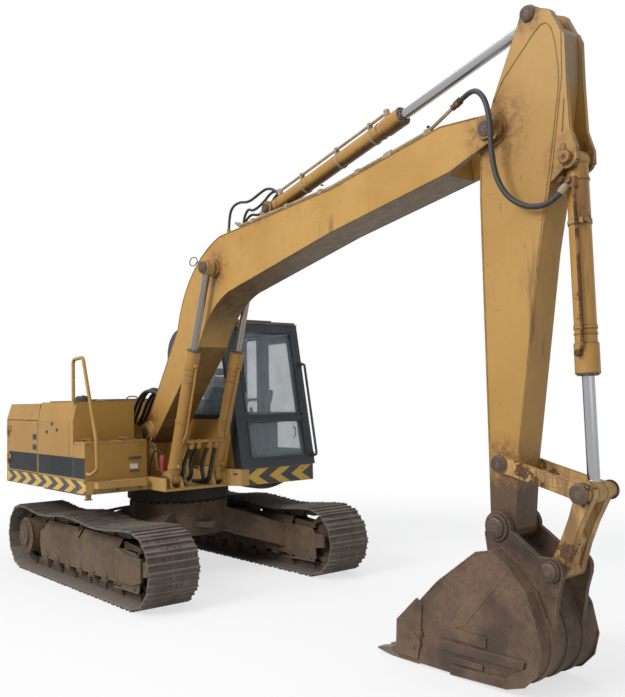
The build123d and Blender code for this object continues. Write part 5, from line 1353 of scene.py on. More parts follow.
    def deck_fittings(self) -> None:
        """Adds weld seams, bolts, a post under the deck, the corner's slot and the red cap with its wire."""
        form, rough = Form(), random.Random(21)
        for side in (-1, 1):
            for y in (BOOM_Y + side * 0.17, BOOM_Y + side * 0.205):
                form.bead((-0.4, y, 0.955), (0.685, y, 0.955), 0.006, rough)
            face = BOOM_Y + side * 0.227
            form.hoop((FOOT[0], BOOM_Y + side * 0.206, FOOT[1]), ACROSS, 0.084, 0.006)
            for c, s in spokes(4, 0.5):
                form.bolt((FOOT[0] + 0.064 * c, face, FOOT[1] + 0.064 * s), (0, side, 0), 0.009)
            ear = BOOM_Y + side * 0.33
            form.hoop((BOOM_BASE[0], ear + side * 0.001, BOOM_BASE[1]), ACROSS, 0.068, 0.005)
            form.bead((0.47, ear, 0.956), (0.69, ear, 0.956), 0.006, rough)
        for x in (0.2, 0.45, 0.68):
            for y in (0.12, -0.45):
                form.bolt((x, y, 0.953), UP, 0.014)
        for y in (-1.15, -0.9, -0.66):
            form.bolt((0.384, y, 0.958), (1, 0, 0), 0.01)
        form.block((0.285, -1.2, 0.88), (0.325, -1.155, 0.934))
        form.block((0.275, -1.21, 0.874), (0.335, -1.145, 0.882))
        form.piece("deck_welds_and_bolts", "upper", Finish.FRAME)
        slot = Form()
        across = Vector((0.13, 0.063, 0)).normalized()
        out = Vector((across.y, -across.x, 0))
        middle = Vector((0.805, 0.204, 1.052)) + out * 0.001
        corners = [(-0.026, -0.01), (0.026, -0.01), (0.026, 0.01), (-0.026, 0.01)]
        slot.loft([[middle + across * u + Vector((0, 0, v)) + out * w for u, v in corners]
                   for w in (-0.004, 0.0015)])
        slot.piece("corner_slot", "upper", Finish.TRIM)
        cap = Form()
        profile = [(0, 0.03), (0.08, 0.032), (0.14, 0.034), (0.165, 0.026), (0.173, 0.012)]
        cap.turned((0.42, -0.425, 1.1), UP, profile, 20)
        cap.piece("red_valve_cap", "upper", Finish.RED)
        wire = Form()
        wire.pipe([(0.42, -0.425, 1.26), (0.41, -0.44, 1.31), (0.36, -0.47, 1.33), (0.3, -0.49, 1.24),
                   (0.28, -0.5, 1.06)], 0.008, 10)
        wire.piece("valve_wire", "upper", Finish.RUBBER)

    def deck_hoses(self) -> None:
        """Adds the swivel pipes on the deck and the hoses that rise to the boom's foot."""
        form = Form()
        for k, y in enumerate((-0.3, -0.24, 0.02, 0.08)):
            z = 0.975 + 0.004 * k
            form.rod((-0.1, y, z), (0.52, y, z), 0.016, 12)
            form.fitting((0.515, y, z), (1, 0, 0.4), 0.018)
        form.piece("deck_pipes", "upper", Finish.LINE)
        for k, y in enumerate(self.foot_hoses):
            rise = 0.02 * (k % 2)
            free = ((-0.66, 1.56), (-0.56, 1.64), (-0.46, 1.8), (-0.28, 1.93), (-0.08, 1.93))
            route = [*((x, y, z + rise) for x, z in free), (0.07, y, 1.88), (0.16, y, 1.825)]
            hose = Form()
            hose.pipe(route, 0.019)
            hose.fitting(route[0], (1, 0, 0.6), 0.019)
            bend = Bend("upper", "boom", (-0.45, y, 1.6), (0.08, y, 1.88))
            hose.piece(f"foot_hose_{k + 1}", bend, Finish.RUBBER)
        ends = Form()
        for y in self.foot_hoses:
            ends.fitting((0.155, y, 1.828), (-1, 0, 0.55), 0.019)
        ends.piece("foot_hose_ends", "boom", Finish.LINE)


# Cab


@dataclass
class Cushion:
    """A padded form: a soft block that a cloth simulation swells, with its sewn channels pressed in after."""

    name: str
    centre: Triple
    size: Triple
    lean: float = 0.0
    channels: tuple[float, ...] = ()
    voxel: float = 0.006
    swell: float = 0.024
    pressure: float = 4.0
    frames: int = 20

    def start_form(self) -> Item:
        """Returns the block before it swells: rounded, crowned on top and slimmer at its corners."""
        form = Form()
        half = [side / 2 - self.swell * 0.55 for side in self.size]
        rings, levels = [], 9
        for k in range(levels):
            height = -1 + 2 * k / (levels - 1)
            draw = 1 - 0.16 * abs(height) ** 4
            ring = []
            for c, s in spokes(40):
                ring.append((half[0] * draw * copysign(abs(c) ** 0.32, c),
                             half[1] * draw * copysign(abs(s) ** 0.32, s), half[2] * height))
            rings.append(ring)
        form.loft(rings)
        return form.item(self.name)

    def baked(self, item: Item) -> None:
        """Applies the object's modifiers to its mesh."""
        graph = bpy.context.evaluated_depsgraph_get()
        data = bpy.data.meshes.new_from_object(item.evaluated_get(graph))
        item.modifiers.clear()
        item.data = data

    def inflate(self, item: Item) -> None:
        """Runs the cloth simulation and keeps every point within the swell of where it was."""
        remesh = item.modifiers.new("remesh", "REMESH")
        remesh.mode, remesh.voxel_size = "VOXEL", self.voxel
        self.baked(item)
        before = [vertex.co.copy() for vertex in item.data.vertices]
        cloth = item.modifiers.new("cloth", "CLOTH")
        cloth.settings.use_pressure = True
        cloth.settings.uniform_pressure_force = self.pressure
        cloth.settings.effector_weights.gravity = 0
        cloth.point_cache.frame_start, cloth.point_cache.frame_end = 1, self.frames
        for frame in range(1, self.frames + 1):
            bpy.context.scene.frame_set(frame)
        self.baked(item)
        bpy.context.scene.frame_set(1)
        for vertex, start in zip(item.data.vertices, before):
            move = vertex.co - start
            if move.length > self.swell:
                vertex.co = start + move.normalized() * self.swell

    def sew(self, item: Item) -> None:
        """Presses the channels across the top and the seam round the side."""
        for vertex in item.data.vertices:
            x, _, z = vertex.co
            if z > 0:
                for channel in self.channels:
                    near = exp(-((x - channel * self.size[0]) / 0.0075) ** 2)
                    vertex.co.z -= 0.01 * near * min(1.0, z / (self.size[2] * 0.3))
            pull = exp(-(z / 0.006) ** 2)
            for axis in (0, 1):
                place = vertex.co[axis]
                if abs(place) > self.size[axis] * 0.3:
                    vertex.co[axis] -= copysign(0.003 * pull, place)

    def build(self) -> Item:
        """Makes the cushion in its place.

        Returns:
            The padded piece, riding on the upper structure.
        """
        item = self.start_form()
        self.inflate(item)
        self.sew(item)
        item.data.transform(Matrix.Translation(self.centre) @ Matrix.Rotation(self.lean, 4, "Y"))
        soften = item.modifiers.new("soft", "SUBSURF")
        soften.levels = soften.render_levels = 1
        item.data.shade_smooth()
        item.data.materials.clear()
        item.data.materials.append(Finish.SEAT.surface())
        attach(item, "upper")
        LOG.info("cushion %s: %d faces", self.name, len(item.data.polygons))
        return item


@dataclass
class Cab:
    """Cab shell, glass, door, seat and controls."""

    right: float = 0.235
    left: float = 1.206
    bottom: float = 1.105
    sill: float = 1.64
    window_top: float = 2.55
    seat_y: float = 0.7305
    console_offset: float = 0.328

    def front_x(self, z: float) -> float:
        """Returns the x of the leaning front face at a height."""
        return 0.88 - (z - self.bottom) * 0.292 / 1.535

    def side_outline(self, rear: float, low: float, high: float, margin: float = 0.092) -> list[Pair]:
        """Returns the (x, z) corners of an opening that follows the leaning pillar."""
        return [(rear, low), (self.front_x(low) - margin, low), (self.front_x(high) - margin, high),
                (rear, high)]

    def seals(self) -> None:
        """Adds the rubber frames of every pane."""
        fixed, door = Form(), Form()
        right = rounded(self.side_outline(-0.42, self.sill, self.window_top), 0.05)
        fixed.gasket(right, lambda u, v, w: (u, self.right - w, v), 0.03, 0.006)
        z0, z1 = self.sill, self.window_top
        quarter = rounded([(-0.42, z0), (-0.11, z0), (-0.11, z1), (-0.42, z1)], 0.05)
        fixed.gasket(quarter, lambda u, v, w: (u, self.left + w, v), 0.026, 0.006)
        low, high = self.right + 0.11, self.left - 0.11
        rear = rounded([(low, 1.7), (high, 1.7), (high, 2.32), (low, 2.32)], 0.05)
        fixed.gasket(rear, lambda u, v, w: (-0.62 - w, u, v), 0.028, 0.006)
        low, high = self.right + 0.128, self.left - 0.088
        for z0, z1, radius in ((1.195, 1.595, 0.03), (1.64, 2.57, 0.07)):
            pane = rounded([(low, z0), (high, z0), (high, z1), (low, z1)], radius)
            fixed.gasket(pane, lambda u, v, w: (self.front_x(v) + w, u, v), 0.022, 0.008)
        for low_z, high_z in ((1.241, 1.59), (1.65, 2.474)):
            pane = rounded(self.side_outline(0.036, low_z, high_z, 0.168), 0.035)
            door.gasket(pane, lambda u, v, w: (u, self.left + w, v), 0.018, 0.005)
        edge = rounded(self.side_outline(-0.034, 1.171, 2.544, 0.098), 0.045)
        door.gasket(edge, lambda u, v, w: (u, self.left + w * 0.5, v), 0.01, 0.004)
        fixed.piece("cab_seals", "upper", Finish.RUBBER, bevel=0.001)
        door.piece("door_seals", "cab_door", Finish.RUBBER)

    def panels(self) -> None:
        """Adds the yellow lower panels on the cab's sides and back."""
        form = Form()
        low, high = self.bottom + 0.008, 1.612
        outline = [(-0.612, low), (self.front_x(low) - 0.135, low), (self.front_x(high) - 0.135, high),
                   (-0.612, high)]
        form.plate(rounded(outline, 0.012, 3), self.right - 0.004, self.right + 0.002)
        form.plate(rounded([(-0.612, low), (-0.085, low), (-0.085, high), (-0.612, high)], 0.012, 3),
                   self.left - 0.002, self.left + 0.004)
        y0, y1 = self.right + 0.02, self.left - 0.02
        back = rounded([(y0, low), (y1, low), (y1, high), (y0, high)], 0.012, 3)
        form.loft([[(x, y, z) for y, z in back] for x in (-0.6235, -0.618)])
        for z in (low + 0.03, high - 0.03):
            for x in (-0.55, -0.2, 0.2, 0.55):
                form.bolt((x, self.right - 0.004, z), (0, -1, 0), 0.007)
            for x in (-0.55, -0.14):
                form.bolt((x, self.left + 0.004, z), ACROSS, 0.007)
        form.piece("cab_lower_panels", "upper", Finish.BODY, bevel=0.001)

    def outside(self) -> None:
        """Adds the wiper, the rail's mounts, the roof's edges and the door's lock and grip."""
        form = Form()
        y = self.right + 0.15
        base = Vector((self.front_x(2.6) + 0.004, y, 2.6))
        form.turned(base, (1, 0, 0.19), [(0, 0.024), (0.016, 0.022), (0.024, 0.014), (0.03, 0.008)], 20)
        arm = [base + Vector((0.022, 0, 0.004)), Vector((self.front_x(2.45) + 0.034, y + 0.004, 2.45)),
               Vector((self.front_x(2.12) + 0.022, y + 0.012, 2.12))]
        form.pipe(arm, 0.0055, 8)
        blade = [(self.front_x(z) - 0.012, y + 0.02, z) for z in (1.9, 2.13, 2.36)]
        form.tube(blade, 0.006, 8)
        form.tube([(x + 0.02, py, z) for x, py, z in blade], 0.0045, 8)
        for z in (1.205, 2.195):
            form.block((self.front_x(z) - 0.005, self.left - 0.045, z - 0.03),
                       (self.front_x(z) + 0.01, self.left, z + 0.03))
            for dz in (-0.02, 0.02):
                form.bolt((self.front_x(z) + 0.01, self.left - 0.022, z + dz), (1, 0, 0), 0.006)
        for edge in (self.right - 0.004, self.left + 0.004):
            form.tube([(-0.31, edge, 2.644), (0.59, edge, 2.644)], 0.006, 8)
        form.piece("cab_outside_trim", "upper", Finish.TRIM)
        lock = Form()
        lock.block((0.575, self.left + 0.02, 1.598), (0.64, self.left + 0.034, 1.642))
        lock.turned((0.545, self.left - 0.002, 1.62), ACROSS, [(0, 0.018), (0.01, 0.018), (0.012, 0.014)],
                    20)
        grip = ((0.0, 1.5), (0.035, 1.5), (0.035, 1.38), (0.0, 1.38))
        lock.pipe([(0.5, self.left + dy, z) for dy, z in grip], 0.008, 10)
        lock.piece("door_lock", "cab_door", Finish.TRIM, bevel=0.001)

    def inside(self) -> None:
        """Adds lever boots, knobs, switches, arm rests, pedals, the floor mat and the monitor."""
        soft, hard = Form(), Form()
        for side in (-1, 1):
            y = self.seat_y + side * self.console_offset
            pleats = [(0.006 * k, 0.04 - 0.0028 * k + (0.005 if k % 2 else 0.0)) for k in range(10)]
            soft.turned((0.24, y, 1.639), (0.18, 0, 1), pleats, 20)
            knob = [(0, 0.014), (0.01, 0.026), (0.03, 0.03), (0.05, 0.024), (0.06, 0.01)]
            soft.turned((0.283, y, 1.865), (0.1, 0, 1), knob, 18)
            hard.block((-0.16, y - 0.045, 1.6395), (0.17, y + 0.045, 1.65))
            for k in range(5):
                hard.turned((-0.12 + 0.06 * k, y + 0.02, 1.65), UP,
                            [(0, 0.01), (0.012, 0.009), (0.014, 0.006)], 12)
            rest = ((-0.035, -0.016), (0.035, -0.016), (0.038, 0.004), (0.025, 0.018), (-0.025, 0.018),
                    (-0.038, 0.004))
            soft.loft([[(x, y + side * 0.01 + dy, 1.8 + 0.02 * s + dz) for dy, dz in rest]
                       for x, s in ((-0.22, 0.0), (-0.2, 0.5), (0.05, 0.8), (0.08, 0.4))])
        for side in (-1, 1):
            y = self.seat_y + side * 0.05
            pedal = ((0.455, 1.232), (0.59, 1.285), (0.586, 1.295), (0.451, 1.242))
            hard.plate(pedal, y - 0.038, y + 0.038)
            lever = [(0, 0.011), (0.01, 0.017), (0.08, 0.018), (0.1, 0.012)]
            soft.turned((0.44, y, 1.635), (-0.18, 0, 1), lever, 14)
        for k in range(6):
            x = 0.2 + 0.055 * k
            hard.block((x, self.seat_y - 0.18, 1.1655), (x + 0.035, self.seat_y + 0.18, 1.171))
        arm = ((0.6, 0.11, 1.2), (0.59, 0.11, 1.5), (0.56, 0.12, 1.66), (0.5, 0.13, 1.74))
        hard.pipe([(x, self.right + dy, z) for x, dy, z in arm], 0.014)
        hard.block((0.475, self.right + 0.07, 1.68), (0.525, self.right + 0.19, 1.82))
        hard.piece("cab_switches_and_pedals", "upper", Finish.TRIM, bevel=0.0015)
        soft.piece("lever_boots_and_grips", "upper", Finish.RUBBER)

    def seat(self) -> None:
        """Adds the seat: a cushion, a back rest and a head rest, swollen by simulation, on their frame."""
        y = self.seat_y
        lean = radians(-87.5)
        base = Cushion("seat_cushion", (0.015, y, 1.572), (0.46, 0.45, 0.135), 0.0,
                       (-0.22, 0.0, 0.22)).build()
        Cushion("seat_back", (-0.262, y, 1.88), (0.5, 0.44, 0.115), lean, (-0.26, -0.06, 0.14)).build()
        Cushion("head_rest", (-0.268, y, 2.148), (0.105, 0.27, 0.09), lean).build()
        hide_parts("seat")
        frame = Form()
        for side in (-1, 1):
            frame.rod((-0.275, y + side * 0.07, 2.06), (-0.275, y + side * 0.07, 2.14), 0.007, 12)
        frame.block((-0.2, y - 0.2, 1.482), (0.21, y + 0.2, 1.515))
        frame.plate([(-0.335, 1.5), (-0.2, 1.5), (-0.3, 2.08), (-0.325, 2.08)], y - 0.19, y + 0.19)
        frame.piece("seat_frame", "upper", Finish.TRIM, bevel=0.006)

    def build(self) -> None:
        """Dresses the cab and adds its fittings."""
        dress(["cab_frame", "cab_door"], Finish.CAB)
        dress(["cab_roof"], Finish.ROOF)
        dress(["cab_glass", "cab_door_glass"], Finish.GLASS)
        dress(["cab_controls", "cab_rail"], Finish.TRIM)
        self.seals()
        self.panels()
        self.outside()
        self.inside()
        self.seat()


# Front end


@dataclass(frozen=True)
class Cylinder:
    """One cylinder at rest: the pins at its ends, its place across the machine and its radii."""

    base: Pair
    eye: Pair
    y: float
    length: float
    radius: float
    rod: float

    @property
    def start(self) -> Vector:
        """The middle of the base pin."""
        return Vector((self.base[0], self.y, self.base[1]))

    @property
    def axis(self) -> Vector:
        """The direction from the base pin to the eye."""
        return (Vector((self.eye[0], self.y, self.eye[1])) - self.start).normalized()

    @property
    def square(self) -> Vector:
        """The direction square to the axis, on its upper side."""
        return Vector((-self.axis.z, 0, self.axis.x))

    def at(self, distance: float, lift: float = 0.0, step: float = 0.0) -> Vector:
        """Returns a point a distance along the cylinder, lifted square to it and moved sideways."""
        return self.start + self.axis * distance + self.square * lift + Vector((0, step, 0))

    def head(self, form: Form, bands: Form) -> None:
        """Adds the cylinder's head: its nut, bolts and wiper, its wear bands and its barrel's rings."""
        axis, radius, rod, end = self.axis, self.radius, self.rod, self.at(self.length)
        first, second = side_axes(axis)
        nut = [(0, radius + 0.008), (0.012, radius + 0.008), (0.018, radius + 0.001), (0.018, rod + 0.012),
               (0.026, rod + 0.01), (0.028, rod + 0.0015)]
        form.turned(end - axis * 0.01, axis, nut, 36)
        for c, s in spokes(8, 0.5):
            form.bolt(end + axis * 0.007 + (c * first + s * second) * (radius - 0.01), axis, 0.0075)
        for back in (0.185, 0.245):
            bands.collar(end - axis * back, axis, radius - 0.004, radius + 0.0045, 0.012)
        bands.collar(self.at(0.115), axis, radius - 0.004, radius + 0.006, 0.02)


BOOM_CYLINDERS = [Cylinder(BOOM_BASE, BOOM_EYE, BOOM_Y + side * 0.255, 1.33, 0.0625, 0.035)
                  for side in (-1, 1)]
STICK_CYLINDER = Cylinder(STICK_BASE, STICK_EYE, BOOM_Y, 1.693, 0.065, 0.04)
BUCKET_CYLINDER = Cylinder(BUCKET_BASE, LINK_TOP, BOOM_Y, 1.311, 0.068, 0.038)


@dataclass
class FrontEnd:
    """Boom, stick, cylinders, linkage and bucket."""

    boom_half: float = 0.165
    stick_half: float = 0.11
    bucket_half: float = 0.295
    cross_tube: Pair = (0.8, 1.41)
    stick_hoses: tuple[Triple, ...] = ((-0.235, 0.0, 0.0), (-0.185, 0.17, 0.075), (-0.125, 0.1, 0.11))
    hose_route: tuple = ((4.2905, -0.308, 3.8002), (4.3482, -0.308, 3.8266), (4.446, -0.34, 3.84),
                         (4.545, -0.385, 3.812), (4.612, -0.392, 3.73), (4.643, -0.392, 3.59),
                         (4.644, -0.39, 3.4), (4.668, -0.385, 3.215), (4.75, -0.372, 3.06),
                         (4.885, -0.34, 2.975), (5.025, -0.292, 2.985), (5.088, -0.252, 3.08))

    def seams(self) -> None:
        """Adds weld seams along the boom's and the stick's plates."""
        boom, rough = Form(), random.Random(3)
        upper = [(-0.07, 1.61), *arc((0.584, 2.54), (0.829, 3.022), (1.383, 3.375)),
                 (2.988, 3.492), (4.163, 3.686), (4.47, 3.664)]
        lower = [(0.11, 1.444), *arc((0.983, 2.343), (1.21, 2.65), (1.539, 2.833)),
                 (2.977, 3.139), (4.242, 3.349), (4.44, 3.42)]
        for side in (-1, 1):
            y = BOOM_Y + side * (self.boom_half - 0.001)
            boom.lines(([(x, z - 0.004) for x, z in upper], [(x, z + 0.004) for x, z in lower]), y, 0.0065)
            rings = ((FOOT, 0.0, 0.118, 0.006), (TIP, 0.002, 0.073, 0.006), (BOOM_EYE, 0.002, 0.09, 0.008))
            for (x, z), step, radius, thick in rings:
                boom.hoop((x, y + side * step, z), ACROSS, radius, thick)
            for x, z in ((1.84, 3.413), (2.1, 3.433)):
                boom.bead((x, BOOM_Y + side * 0.05, z), (x, BOOM_Y + side * 0.082, z), 0.006, rough)
            boom.bead((1.85, BOOM_Y + side * 0.08, 3.412), (2.09, BOOM_Y + side * 0.08, 3.43), 0.007, rough)
        boom.piece("boom_seams", "boom", Finish.BOOM)
        stick = Form()
        side_line = [(4.585, 3.751), (4.672, 3.879), (4.813, 4.005), (4.905, 4.09), (4.96, 4.13),
                     (5.003, 4.128), (5.036, 4.085), (5.058, 4.003), (5.078, 3.828), (5.078, 3.727),
                     (5.06, 3.608), (5.025, 3.4), (4.992, 3.21), (4.893, 2.717), (4.69, 1.42)]
        rear_line = [(4.47, 3.43), (4.458, 3.123), (4.469, 1.52)]
        for side in (-1, 1):
            stick.lines((side_line, rear_line), BOOM_Y + side * (self.stick_half - 0.0005), 0.0055)
            rings = ((TIP, 0.112, 0.114, 0.006), (STICK_EYE, 0.111, 0.05, 0.005),
                     (ROCKER, 0.111, 0.042, 0.004), (BUCKET_PIN, 0.111, 0.096, 0.007))
            for (x, z), reach, radius, thick in rings:
                stick.hoop((x, BOOM_Y + side * reach, z), ACROSS, radius, thick)
            for z0, z1 in ((3.2, 3.34), (3.42, 3.62)):
                stick.bead((5.09, BOOM_Y + side * 0.109, z0), (5.11, BOOM_Y + side * 0.109, z1), 0.004, rough)
        stick.piece("stick_seams", "stick", Finish.STICK)

    def pin_ends(self) -> None:
        """Adds the pins' ends at every joint."""
        seats = (
            ("upper", Finish.PIN, ((*FOOT, 0.225, 0.058), (*BOOM_BASE, 0.342, 0.04))),
            ("boom", Finish.PIN, ((*TIP, 0.19, 0.052), (*STICK_BASE, 0.09, 0.038))),
            ("boom_rods", Finish.PIN, ((*BOOM_EYE, 0.317, 0.052),)),
            ("stick", Finish.STICK, ((*BUCKET_BASE, 0.125, 0.04),)),
            ("stick", Finish.PIN, ((*STICK_EYE, 0.128, 0.044), (*ROCKER, 0.155, 0.052))),
            ("rocker_links", Finish.PIN, ((*LINK_TOP, 0.175, 0.054),)),
            ("bucket", Finish.PIN, ((*LINK_LOW, 0.197, 0.046), (*BUCKET_PIN, 0.197, 0.056))),
        )
        for index, (body, finish, rows) in enumerate(seats):
            form = Form()
            for x, z, reach, radius in rows:
                for side in (-1, 1):
                    centre = Vector((x, BOOM_Y + side * reach, z))
                    profile = [(-0.004, radius * 1.12), (0.004, radius * 1.12), (0.005, radius),
                               (0.012, radius), (0.015, radius * 0.9), (0.015, radius * 0.34),
                               (0.011, radius * 0.3)]
                    form.turned(centre, (0, side, 0), profile, 30)
                    form.bolt(centre + Vector((0, side * 0.008, 0)), (0, side, 0), radius * 0.15)
            form.piece(f"pin_ends_{index + 1}_{body}", body, finish)
        lock = Form()
        for side in (-1, 1):
            for x, z, reach in ((*FOOT, 0.2275), (*BOOM_BASE, 0.331)):
                face = BOOM_Y + side * reach
                lock.block((x + 0.05, face, z - 0.016), (x + 0.078, face + side * 0.008, z + 0.016))
        lock.piece("pin_lock_plates", "upper", Finish.PIN, bevel=0.002)
        rings = Form()
        for side in (-1, 1):
            for (x, z), near, radius in ((BUCKET_PIN, 0.171, 0.085), (LINK_LOW, 0.171, 0.064)):
                rings.collar((x, BOOM_Y + side * near, z), (0, side, 0), 0.04, radius, 0.018)
        rings.piece("bucket_boss_rings", "bucket", Finish.BUCKET)

    def cylinders(self) -> None:
        """Adds heads, pipes, ports and clamps on the cylinders."""
        rows = (("boom_barrels", BOOM_CYLINDERS), ("stick_barrel", [STICK_CYLINDER]),
                ("bucket_barrel", [BUCKET_CYLINDER]))
        for body, cylinders in rows:
            heads, bands = Form(), Form()
            for cylinder in cylinders:
                cylinder.head(heads, bands)
            heads.piece(f"{body}_heads", body, Finish.PIN)
            bands.piece(f"{body}_rings", body, Finish.BARREL)
        self.boom_pipes()
        self.stick_pipe()
        self.bucket_pipe()

    def boom_pipes(self) -> None:
        """Adds the pipe along each boom cylinder, the tube that joins them and its hoses."""
        pipes = Form()
        x, z = self.cross_tube
        route = ((1.2, -0.055, 0.0), (1.2, -0.088, 0.0), (1.12, -0.09, 0.01), (0.6, -0.086, 0.02),
                 (0.48, -0.086, 0.02), (0.44, -0.082, 0.0))
        for side, barrel in zip((-1, 1), BOOM_CYLINDERS):
            pipes.pipe([barrel.at(along, lift, -side * step) for along, lift, step in route], 0.011)
            for along in (0.6, 1.02):
                pipes.collar(barrel.at(along), barrel.axis, 0.06, 0.069, 0.022)
            pipes.fitting(barrel.at(1.2, -0.064), -barrel.square, 0.014)
            pipes.fitting(barrel.at(0.16, -0.058), -barrel.square, 0.014)
            pipes.rod((x, barrel.y - side * 0.03, z), barrel.at(0.415, -0.052, -side * 0.02), 0.017, 12)
        pipes.rod((x, BOOM_Y - 0.215, z), (x, BOOM_Y + 0.215, z), 0.017, 16)
        for y in (-0.3, -0.22, -0.1, -0.02):
            pipes.fitting((x - 0.005, y, z - 0.012), (-0.45, 0, -1), 0.02)
        pipes.piece("boom_cylinder_pipes", "boom_barrels", Finish.BARREL)
        routes = (((0.785, -0.3, 1.375), (0.715, -0.302, 1.3), (0.64, -0.305, 1.19), (0.625, -0.306, 1.09),
                   (0.56, -0.3, 1.02), (0.48, -0.29, 0.99)),
                  ((0.785, -0.22, 1.375), (0.7, -0.222, 1.29), (0.62, -0.22, 1.19), (0.61, -0.2, 1.085),
                   (0.55, -0.19, 1.015), (0.46, -0.2, 0.99)),
                  ((0.785, -0.1, 1.375), (0.69, -0.104, 1.27), (0.64, -0.1, 1.13), (0.64, -0.08, 1.03),
                   (0.6, -0.06, 0.99), (0.52, -0.08, 0.985), (0.44, -0.08, 0.985)),
                  ((0.785, -0.02, 1.375), (0.72, -0.01, 1.27), (0.66, -0.005, 1.12), (0.63, -0.01, 1.01),
                   (0.56, -0.03, 0.985), (0.47, -0.03, 0.985)))
        for k, route in enumerate(routes):
            hose = Form()
            hose.pipe(route, 0.021)
            bend = Bend("upper", "boom_barrels", (0.6, route[0][1], 1.08), (0.78, route[0][1], 1.36))
            hose.piece(f"boom_cylinder_hose_{k + 1}", bend, Finish.RUBBER)

    def stick_pipe(self) -> None:
        """Adds the stick cylinder's pipe, clamps and hoses at its base."""
        at, axis, square = STICK_CYLINDER.at, STICK_CYLINDER.axis, STICK_CYLINDER.square
        pipe = Form()
        route = ((0.16, 0.06), (0.16, 0.098), (0.24, 0.1), (0.9, 0.096), (1.46, 0.096), (1.54, 0.1),
                 (1.56, 0.06))
        pipe.pipe([at(along, lift, -0.02) for along, lift in route], 0.012)
        for distance in (0.48, 0.95, 1.36):
            pipe.collar(at(distance), axis, 0.063, 0.071, 0.024)
            pipe.block(at(distance - 0.014, 0.066, -0.04), at(distance + 0.02, 0.108, 0.0))
        for port in ((1.56, 0.066, -0.02), (0.16, 0.062, -0.02), (0.1, 0.055, 0.03)):
            pipe.fitting(at(*port), square, 0.018)
        pipe.piece("stick_cylinder_pipe", "stick_barrel", Finish.LINE)
        for k, (y, ahead, drop) in enumerate(self.stick_hoses):
            route = [(1.4 + ahead, y, 3.375), (1.4 + ahead, y, 3.48), (1.44 + ahead, y, 3.64 - drop),
                     (1.58 + ahead * 0.5, y, 3.675 - drop), (1.73, y, 3.64 - drop),
                     (1.86, y + 0.02, 3.69 - drop), (1.98, y + 0.03, 3.73 - drop * 0.4),
                     (2.08, -0.175 + 0.03 * k, 3.69), (2.12, -0.18 + 0.03 * k, 3.64)]
            hose = Form()
            hose.pipe(route, 0.0125)
            bend = Bend("boom", "stick_barrel", (1.9, y, 3.69), (2.1, y, 3.66))
            hose.piece(f"stick_cylinder_hose_{k + 1}", bend, Finish.RUBBER)
        base = Form()
        for y, ahead, _ in self.stick_hoses:
            base.fitting((1.4 + ahead, y, 3.405 + 0.07 * ahead), UP, 0.014)
        for x, z in ((1.4, 3.39), (2.1, 3.43)):
            base.block((x - 0.05, -0.27, z - 0.02), (x + 0.07, -0.09, z + 0.002))
        base.piece("hose_ends_boom", "boom", Finish.LINE)

    def bucket_pipe(self) -> None:
        """Adds the bucket cylinder's pipe, head fittings and band clamp."""
        at, axis = BUCKET_CYLINDER.at, BUCKET_CYLINDER.axis
        pipe = Form()
        route = ((0.14, 0.0, -0.062), (0.14, 0.02, -0.096), (0.22, 0.03, -0.092), (0.45, 0.03, -0.086),
                 (1.0, 0.03, -0.086), (1.13, 0.03, -0.09), (1.17, 0.02, -0.086), (1.19, 0.0, -0.06))
        pipe.pipe([at(*place) for place in route], 0.011)
        pipe.fitting(at(0.14, 0.0, -0.066), (0, -1, 0), 0.016)
        pipe.fitting(at(1.19, 0.0, -0.062), (0, -1, 0), 0.016)
        pipe.fitting(at(0.155, -0.03, -0.064), (-0.4, -1, 0.6), 0.02)
        pipe.block(at(0.12, -0.055, -0.1), at(0.185, 0.04, -0.05))
        pipe.piece("bucket_cylinder_pipe", "bucket_barrel", Finish.RUSTY)
        band = Form()
        band.collar(at(0.372), axis, 0.066, 0.074, 0.036, 40)
        centre = at(0.39, 0.05, -0.058)
        band.block(centre - Vector((0.016, 0.02, 0.018)), centre + Vector((0.022, 0.02, 0.018)))
        band.bolt(centre + Vector((0.022, 0, 0)), (1, -0.3, 0), 0.013)
        band.collar(at(1.02), axis, 0.066, 0.073, 0.026, 40)
        band.piece("bucket_barrel_clamps", "bucket_barrel", Finish.BARREL)

    def hose(self) -> None:
        """Adds the hose that bends over the stick's joint, with its ends and the ring on the boom."""
        form = Form()
        form.tube(nurbs_points(self.hose_route, 10), 0.018, 14)
        bend = Bend("boom", "stick", (4.48, -0.36, 3.84), (4.75, -0.372, 3.08))
        item = form.piece("stick_hose_rubber", bend, Finish.RUBBER)
        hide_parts("stick_hose")
        start, end = Vector(self.hose_route[0]), Vector(self.hose_route[-1])
        ends = Form()
        ends.fitting(start, Vector(self.hose_route[1]) - start, 0.019)
        ends.bolt((4.04, -0.308, 3.715), UP, 0.01)
        for x in (1.9, 2.4, 2.85, 3.3, 3.64):
            z = 3.446 + (x - 1.383) * 0.0729 if x < 2.988 else 3.529 + (x - 2.988) * 0.1651
            ends.bolt((x, -0.29, z), UP, 0.009)
        ends.piece("line_bolts_and_hose_end", "boom", Finish.RUSTY)
        far = Form()
        back = Vector(self.hose_route[-2]) - end
        far.fitting(end - back.normalized() * 0.012, back, 0.02)
        far.turned(end, (0.4, 1.0, 0.9), [(0, 0.019), (0.05, 0.019)], 16)
        far.piece("hose_end_stick", "stick", Finish.LINE)
        wire = Form()
        ring = [(0.905 + 0.07 * c, BOOM_Y - self.boom_half - 0.004, 3.196 + 0.042 * s)
                for c, s in (*spokes(28), (1.0, 0.0))]
        wire.tube(ring, 0.005, 8)
        wire.pipe([(0.97, -0.329, 3.185), (1.03, -0.331, 3.16), (1.1, -0.329, 3.12), (1.2, -0.326, 3.1)],
                  0.005, 8)
        wire.piece("wire_ring", "boom", Finish.RUBBER)

